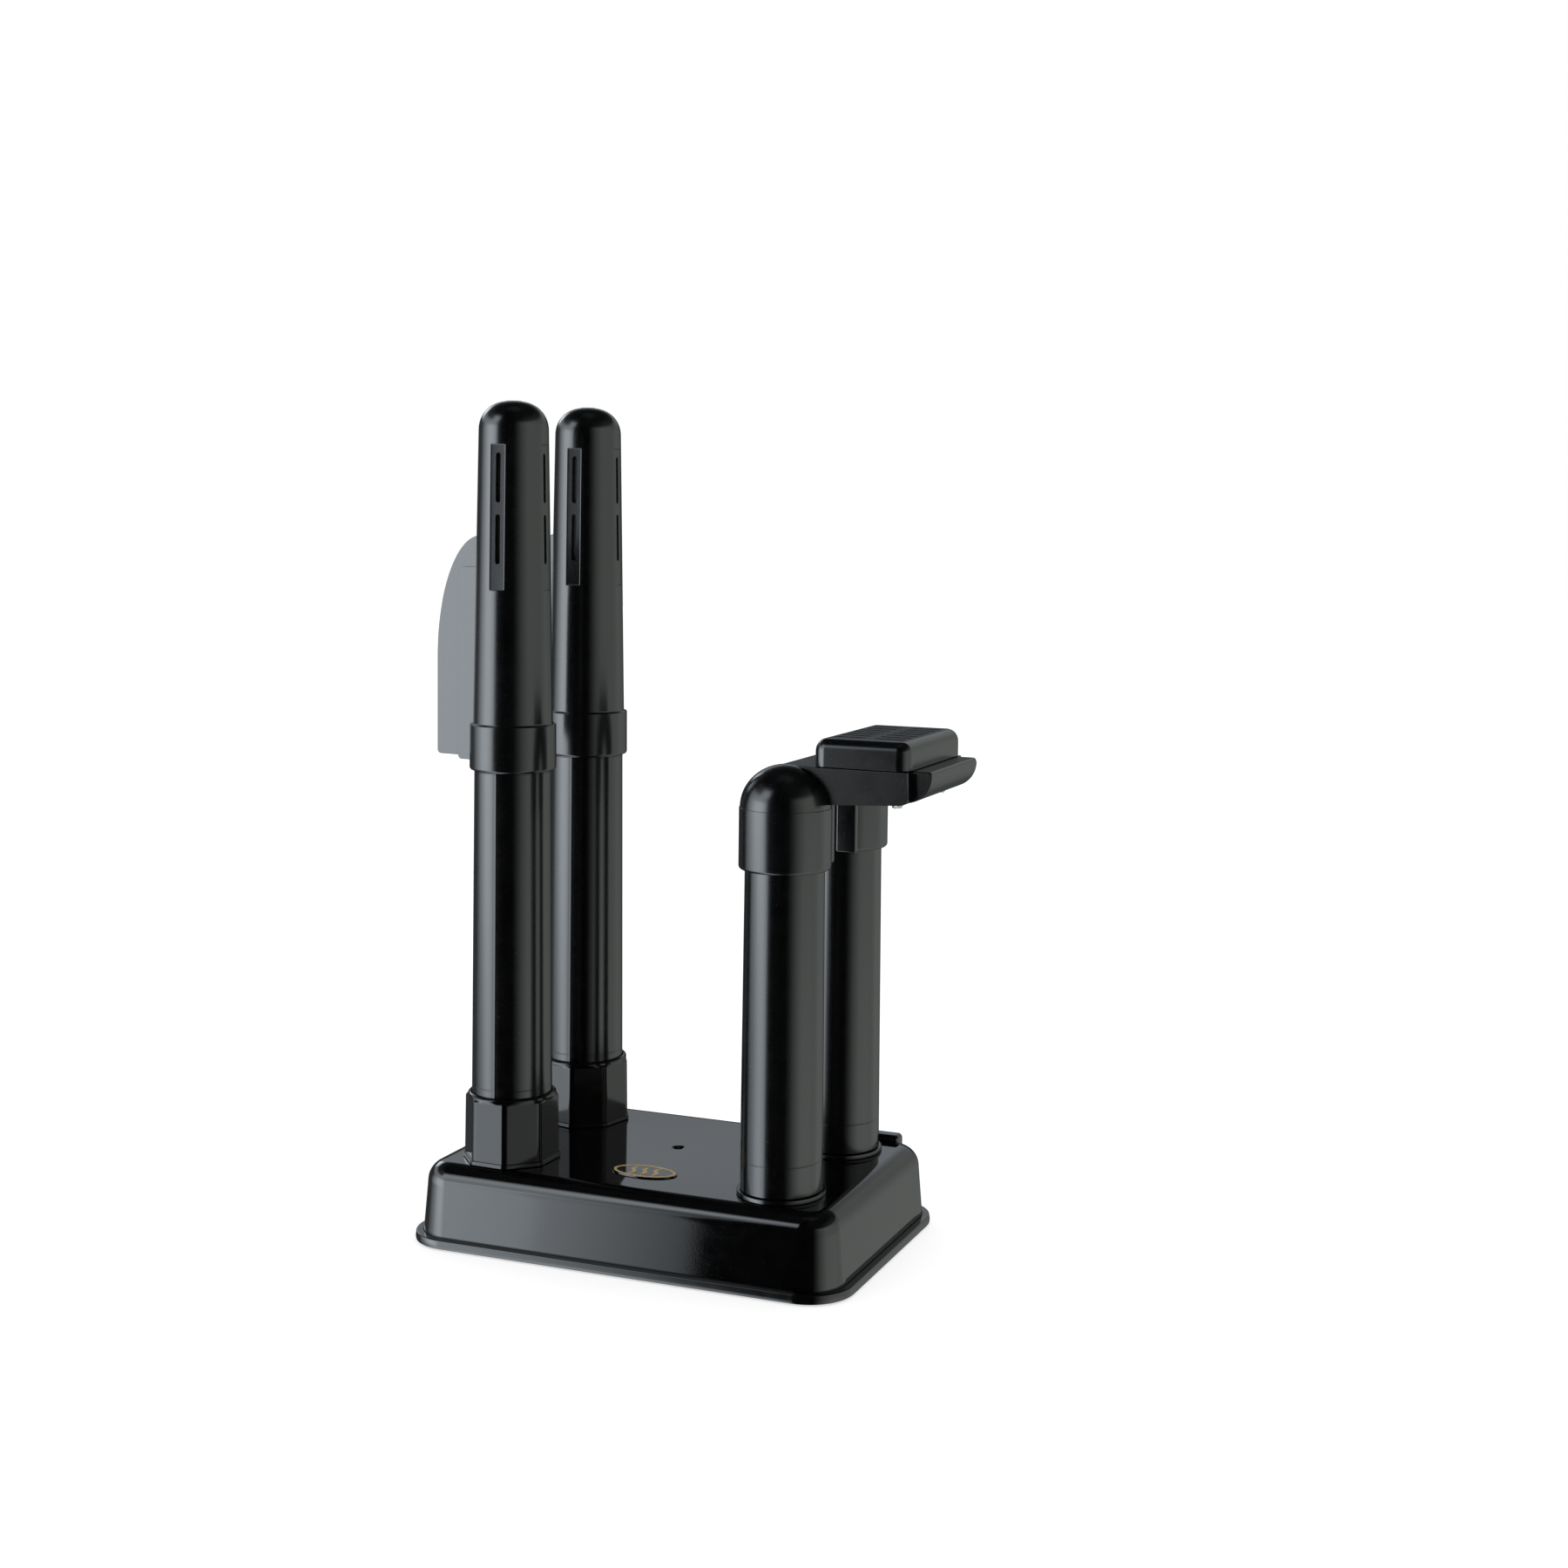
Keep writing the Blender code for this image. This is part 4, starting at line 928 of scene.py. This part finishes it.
def make_fins(name, p):
    """The fin's two layers: a thin wing with a curved top, and a thick inner half with its own step."""
    reach, curve, rise = p.fin_reach, p.low + 76.0 * MM, 86.0 * MM
    wing = fin_corner(p, reach, p.low + 6.9 * MM) + [(reach, curve - 30.0 * MM), (reach, curve)]
    last = 90.0 * 28.0 / 29.2
    for turn in arc(0.0, last, 28)[1:]:
        wing.append((p.wide + (reach - p.wide) * math.cos(turn), curve + rise * math.sin(turn)))
    wing += fin_root(p, curve + 0.985 * rise)
    reach, top, corner = 46.0 * MM, p.low + 140.0 * MM, 6.0 * MM
    step = fin_corner(p, reach, p.low + 4.3 * MM)
    for bend in arc(0.0, 90.0, 8):
        step.append((reach - corner + corner * math.cos(bend), top - corner + corner * math.sin(bend)))
    step += fin_root(p, top)
    return [fin_plate(f"{name}_wing", p, wing, 1.1 * MM, 0.6 * MM),
            fin_plate(f"{name}_step", p, step, 2.7 * MM, 0.35 * MM)]


def port_cutters(p):
    """Cutters for four flutes that lean with the nozzle's taper, each with two vents, one over the other."""
    taper = math.atan((p.wide - p.narrow) / (p.shoulder - p.collar_top))
    low, high = p.low + 125.0 * MM, p.shoulder - 10.0 * MM
    mid, half_height = (low + high) / 2.0, (high - low) / 2.0
    half, vent_half = 5.75 * MM, 1.8 * MM
    lean = Matrix.Translation((p.radius(mid) + 0.4 * MM, 0.0, mid)) @ Matrix.Rotation(-taper, 4, "Y")
    cutters = []
    for i, turn in enumerate(FLUTE_ANGLES):
        flute = block(f"flute{i}", (-1.6 * MM, -half, -half_height), (6.0 * MM, half, half_height), 0.9 * MM)
        flute.data.transform(lean)
        cutters.append(spin(flute, turn, p.centre))
        for row in range(2):
            foot = p.low + 143.0 * MM + row * 42.0 * MM
            vent = block(f"vent{i}{row}", (16.0 * MM, -vent_half, foot),
                         (32.0 * MM, vent_half, foot + 34.0 * MM), 1.75 * MM, 5, only=0)
            cutters.append(spin(vent, turn, p.centre))
    return cutters


def make_glove_port(name, looks):
    """The collar, nozzle and fin of a glove port, as one moulding."""
    p = Port(name)
    node = f"{name}_glove_port"
    port = turned(f"{name}_nozzle", port_profile(p), p.centre, 112)
    combined(port, port_cutters(p), "DIFFERENCE")
    combined(port, make_fins(name, p), "UNION")
    placed(port, node, looks["port"], [node])


# ---------------------------------------------------------------- helmet port

class Arch:
    """The places of the helmet port's parts, from the boxes of its nodes and its tubes."""

    def __init__(self):
        low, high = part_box("helmet_rest")
        self.x = middle("front_right_tube")[0]
        self.y = middle("helmet_rest")[1]
        self.sockets = [middle(f"{side}_right_tube")[1] for side in ("front", "back")]
        self.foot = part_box("front_helmet_socket")[0].z
        self.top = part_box("helmet_port_shell")[1].z
        self.radius = 31.0 * MM
        self.dome = self.foot + 40.0 * MM
        self.arm_low, self.arm_top = self.foot + 44.4 * MM, self.foot + 69.0 * MM
        self.arm_rise = 2.6 * MM
        self.arm_end = high.x
        self.half_y = (high.y - low.y) / 2.0

    def box(self, name, x_low, x_high, half_y, z_low, z_high):
        """A block in millimetres from the tubes' line and the sockets' foot."""
        return block(name, (self.x + x_low * MM, self.y - half_y * MM, self.foot + z_low * MM),
                     (self.x + x_high * MM, self.y + half_y * MM, self.foot + z_high * MM))


def arm_outline(a):
    """The arm from the side: its underside rises a little outwards, and its lower corner is round."""
    flat, start, corner = a.x + 30.0 * MM, a.x + 1.0 * MM, 5.5 * MM
    slope = math.degrees(math.atan2(a.arm_rise, a.arm_end - flat))
    centre = (a.arm_end - corner, a.arm_low + a.arm_rise + corner)
    outline = [(start, a.arm_low), (flat, a.arm_low)]
    for turn in arc(slope - 90.0, 0.0, 10):
        outline.append((centre[0] + corner * math.cos(turn), centre[1] + corner * math.sin(turn)))
    return outline + [(a.arm_end, a.arm_top), (start, a.arm_top)]


def nose_outline(a):
    """The roll from the side: round below, its upper edge softened just under the arm's top."""
    x, z, radius = a.arm_end - 4.4 * MM, a.foot + 66.0 * MM, 18.0 * MM
    outline = [(x - 6.0 * MM, a.arm_top), (x - 6.0 * MM, z - radius)]
    for turn in arc(-90.0, 4.0, 32):
        outline.append((x + radius * math.cos(turn), z + radius * math.sin(turn)))
    return outline + [(x + radius + out * MM, a.arm_top + up * MM) for out, up in (
        (-0.35, -1.0), (-0.9, -0.35), (-1.7, 0.0))]


def bridge_outline(a):
    """The bridge between the domes from the side, a little inside their round tops."""
    half = a.radius - 1.2 * MM
    outline = [(a.x - half, a.foot + 45.0 * MM), (a.x + half, a.foot + 45.0 * MM)]
    for turn in arc(10.0, 170.0, 32):
        outline.append((a.x + half * math.cos(turn), a.dome + (a.radius - 1.8 * MM) * math.sin(turn)))
    return outline


def dome_profile(a):
    """A socket and its dome, solid: a soft foot, a fine step where the dome starts, and the round top."""
    profile = [(0.0, a.foot)]
    profile += [(a.radius + out * MM, a.foot + up * MM) for out, up in (
        (-1.8, 0.0), (-1.1, 0.35), (-0.35, 1.1), (0.0, 2.0))]
    profile += [(a.radius + out * MM, a.dome + up * MM) for out, up in (
        (0.0, 0.9), (-0.12, 1.2), (-0.5, 1.35))]
    start = a.dome + 1.4 * MM
    for turn in arc(0.0, 90.0, 16)[1:-1]:
        profile.append(((a.radius - 0.55 * MM) * math.cos(turn), start + (a.top - start) * math.sin(turn)))
    return profile + [(0.0, a.top)]


def make_helmet_port(looks):
    """One moulding: sockets, domes, ribs, the bridge, the arm and the round roll at its end."""
    a = Arch()
    front, back = a.sockets
    port = prism("helmet_port", arm_outline(a), a.y - a.half_y, a.y + a.half_y, 1.1 * MM)
    joins = [prism("bridge", bridge_outline(a), front - 1.0 * MM, back + 1.0 * MM)]
    for side in (-1, 1):
        faces = sorted(a.y + side * reach * MM for reach in (19.5, 25.5))
        joins.append(block(f"rib{side}", (a.x + 7.0 * MM, faces[0], a.foot + 0.4 * MM),
                           (a.x + 22.0 * MM, faces[1], a.arm_low + 6.0 * MM), 1.6 * MM, 5))
    joins.append(prism("nose", nose_outline(a), a.y - 48.0 * MM, a.y + 48.0 * MM, 1.6 * MM))
    joins += [turned(f"dome{y:.3f}", dome_profile(a), (a.x, y), 112) for y in a.sockets]
    combined(port, joins, "UNION")
    combined(port, helmet_port_hollows(a), "DIFFERENCE")
    placed(port, "helmet_port", looks["port"],
           ["helmet_port_shell", "front_helmet_socket", "back_helmet_socket"])


def helmet_port_hollows(a):
    """Cutters for the air's way: the two bores, the bridge, the neck and the open tray of the arm."""
    bore = section([(0.0, -16.0), (27.4, -16.0), (27.4, 47.0), (23.6, 47.0), (23.6, 52.0), (20.0, 59.0),
                    (12.0, 65.0), (0.0, 66.6)], a.foot)
    cutters = [turned(f"bore{y:.3f}", bore, (a.x, y), 80) for y in a.sockets]
    cutters.append(a.box("bridge_hollow", -18.0, 18.0, 41.0, 50.0, 59.6))
    cutters.append(a.box("neck_hollow", 14.0, 26.0, 52.2, 51.2, 66.2))
    wall = 2.6 * MM
    floor = a.arm_low + a.arm_rise + wall
    cutters.append(block("tray_hollow", (a.x + 22.0 * MM, a.y - a.half_y + wall, floor),
                         (a.arm_end - wall, a.y + a.half_y - wall, a.arm_top + 10.0 * MM)))
    return cutters


def make_rest(looks):
    """The vented rest: a low lid with a soft edge and two rows of round-ended slots."""
    low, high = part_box("helmet_rest")
    centre = middle("helmet_rest")
    half_x, half_y = half_sizes("helmet_rest")
    top = high.z

    def loop(inset, height):
        corner = max(9.0 * MM - inset, 2.0 * MM)
        return rounded_rectangle(centre, half_x - inset, half_y - inset, corner, height, 8)

    loops = [loop(9.0 * MM, top - 2.4 * MM), loop(5.0 * MM, top - 4.0 * MM), loop(2.6 * MM, top - 8.0 * MM),
             loop(2.6 * MM, low.z), loop(0.25 * MM, low.z), loop(0.0, low.z + 0.3 * MM)]
    inward, upward = 8.0 * MM, 9.0 * MM
    for turn in arc(0.0, 90.0, 10):
        loops.append(loop(inward * (1.0 - math.cos(turn)) ** 1.05, top - upward + upward * math.sin(turn)))
    rest = loft("rest", loops)
    half_length, half_width = 11.0 * MM, 1.8 * MM
    cutters = []
    for column in range(7):
        y = centre[1] + (column - 3.0) * 12.0 * MM
        for side in (-1, 1):
            x = centre[0] + side * 14.0 * MM
            cutters.append(block(f"vent{column}{side}", (x - half_length, y - half_width, top - 14.0 * MM),
                                 (x + half_length, y + half_width, top + 8.0 * MM), 1.75 * MM, 5, only=2))
    combined(rest, cutters, "DIFFERENCE")
    placed(rest, "helmet_port", looks["port"], ["helmet_rest"])


# ---------------------------------------------------------------- what stays from the CAD

def finish_cad_nodes(looks):
    """Small and inner pieces keep their CAD shape and get their own finish."""
    slots = {part["node"]: part["material_slot"] for part in frame["record"]["subparts"]}
    for name, node in NODES.items():
        if node.hide_render:
            continue
        slot = slots[name]
        node.data.materials.clear()
        node.data.materials.append(looks[slot])
        soft = node.modifiers.new("soft_edges", "BEVEL")
        soft.width = 0.15 * MM
        soft.segments = 2
        soft.limit_method = "ANGLE"
        soft.angle_limit = math.radians(35.0)


def main():
    """The whole scene."""
    bpy.context.scene.view_settings.view_transform = "Standard"
    make_camera()
    make_world()
    make_floor()
    looks = make_looks()
    make_cover(looks)
    for name in CORNERS:
        make_duct(name, looks)
    make_pan(looks)
    make_badge(looks)
    for name in ("front_left", "back_left"):
        make_coupling(name, looks)
        make_tube(name, f"{name}_tube", looks)
        make_glove_port(name, looks)
    for name in ("front_right", "back_right"):
        make_seat_ring(name, looks)
        make_tube(name, "right_tubes", looks)
    make_helmet_port(looks)
    make_rest(looks)
    finish_cad_nodes(looks)


main()
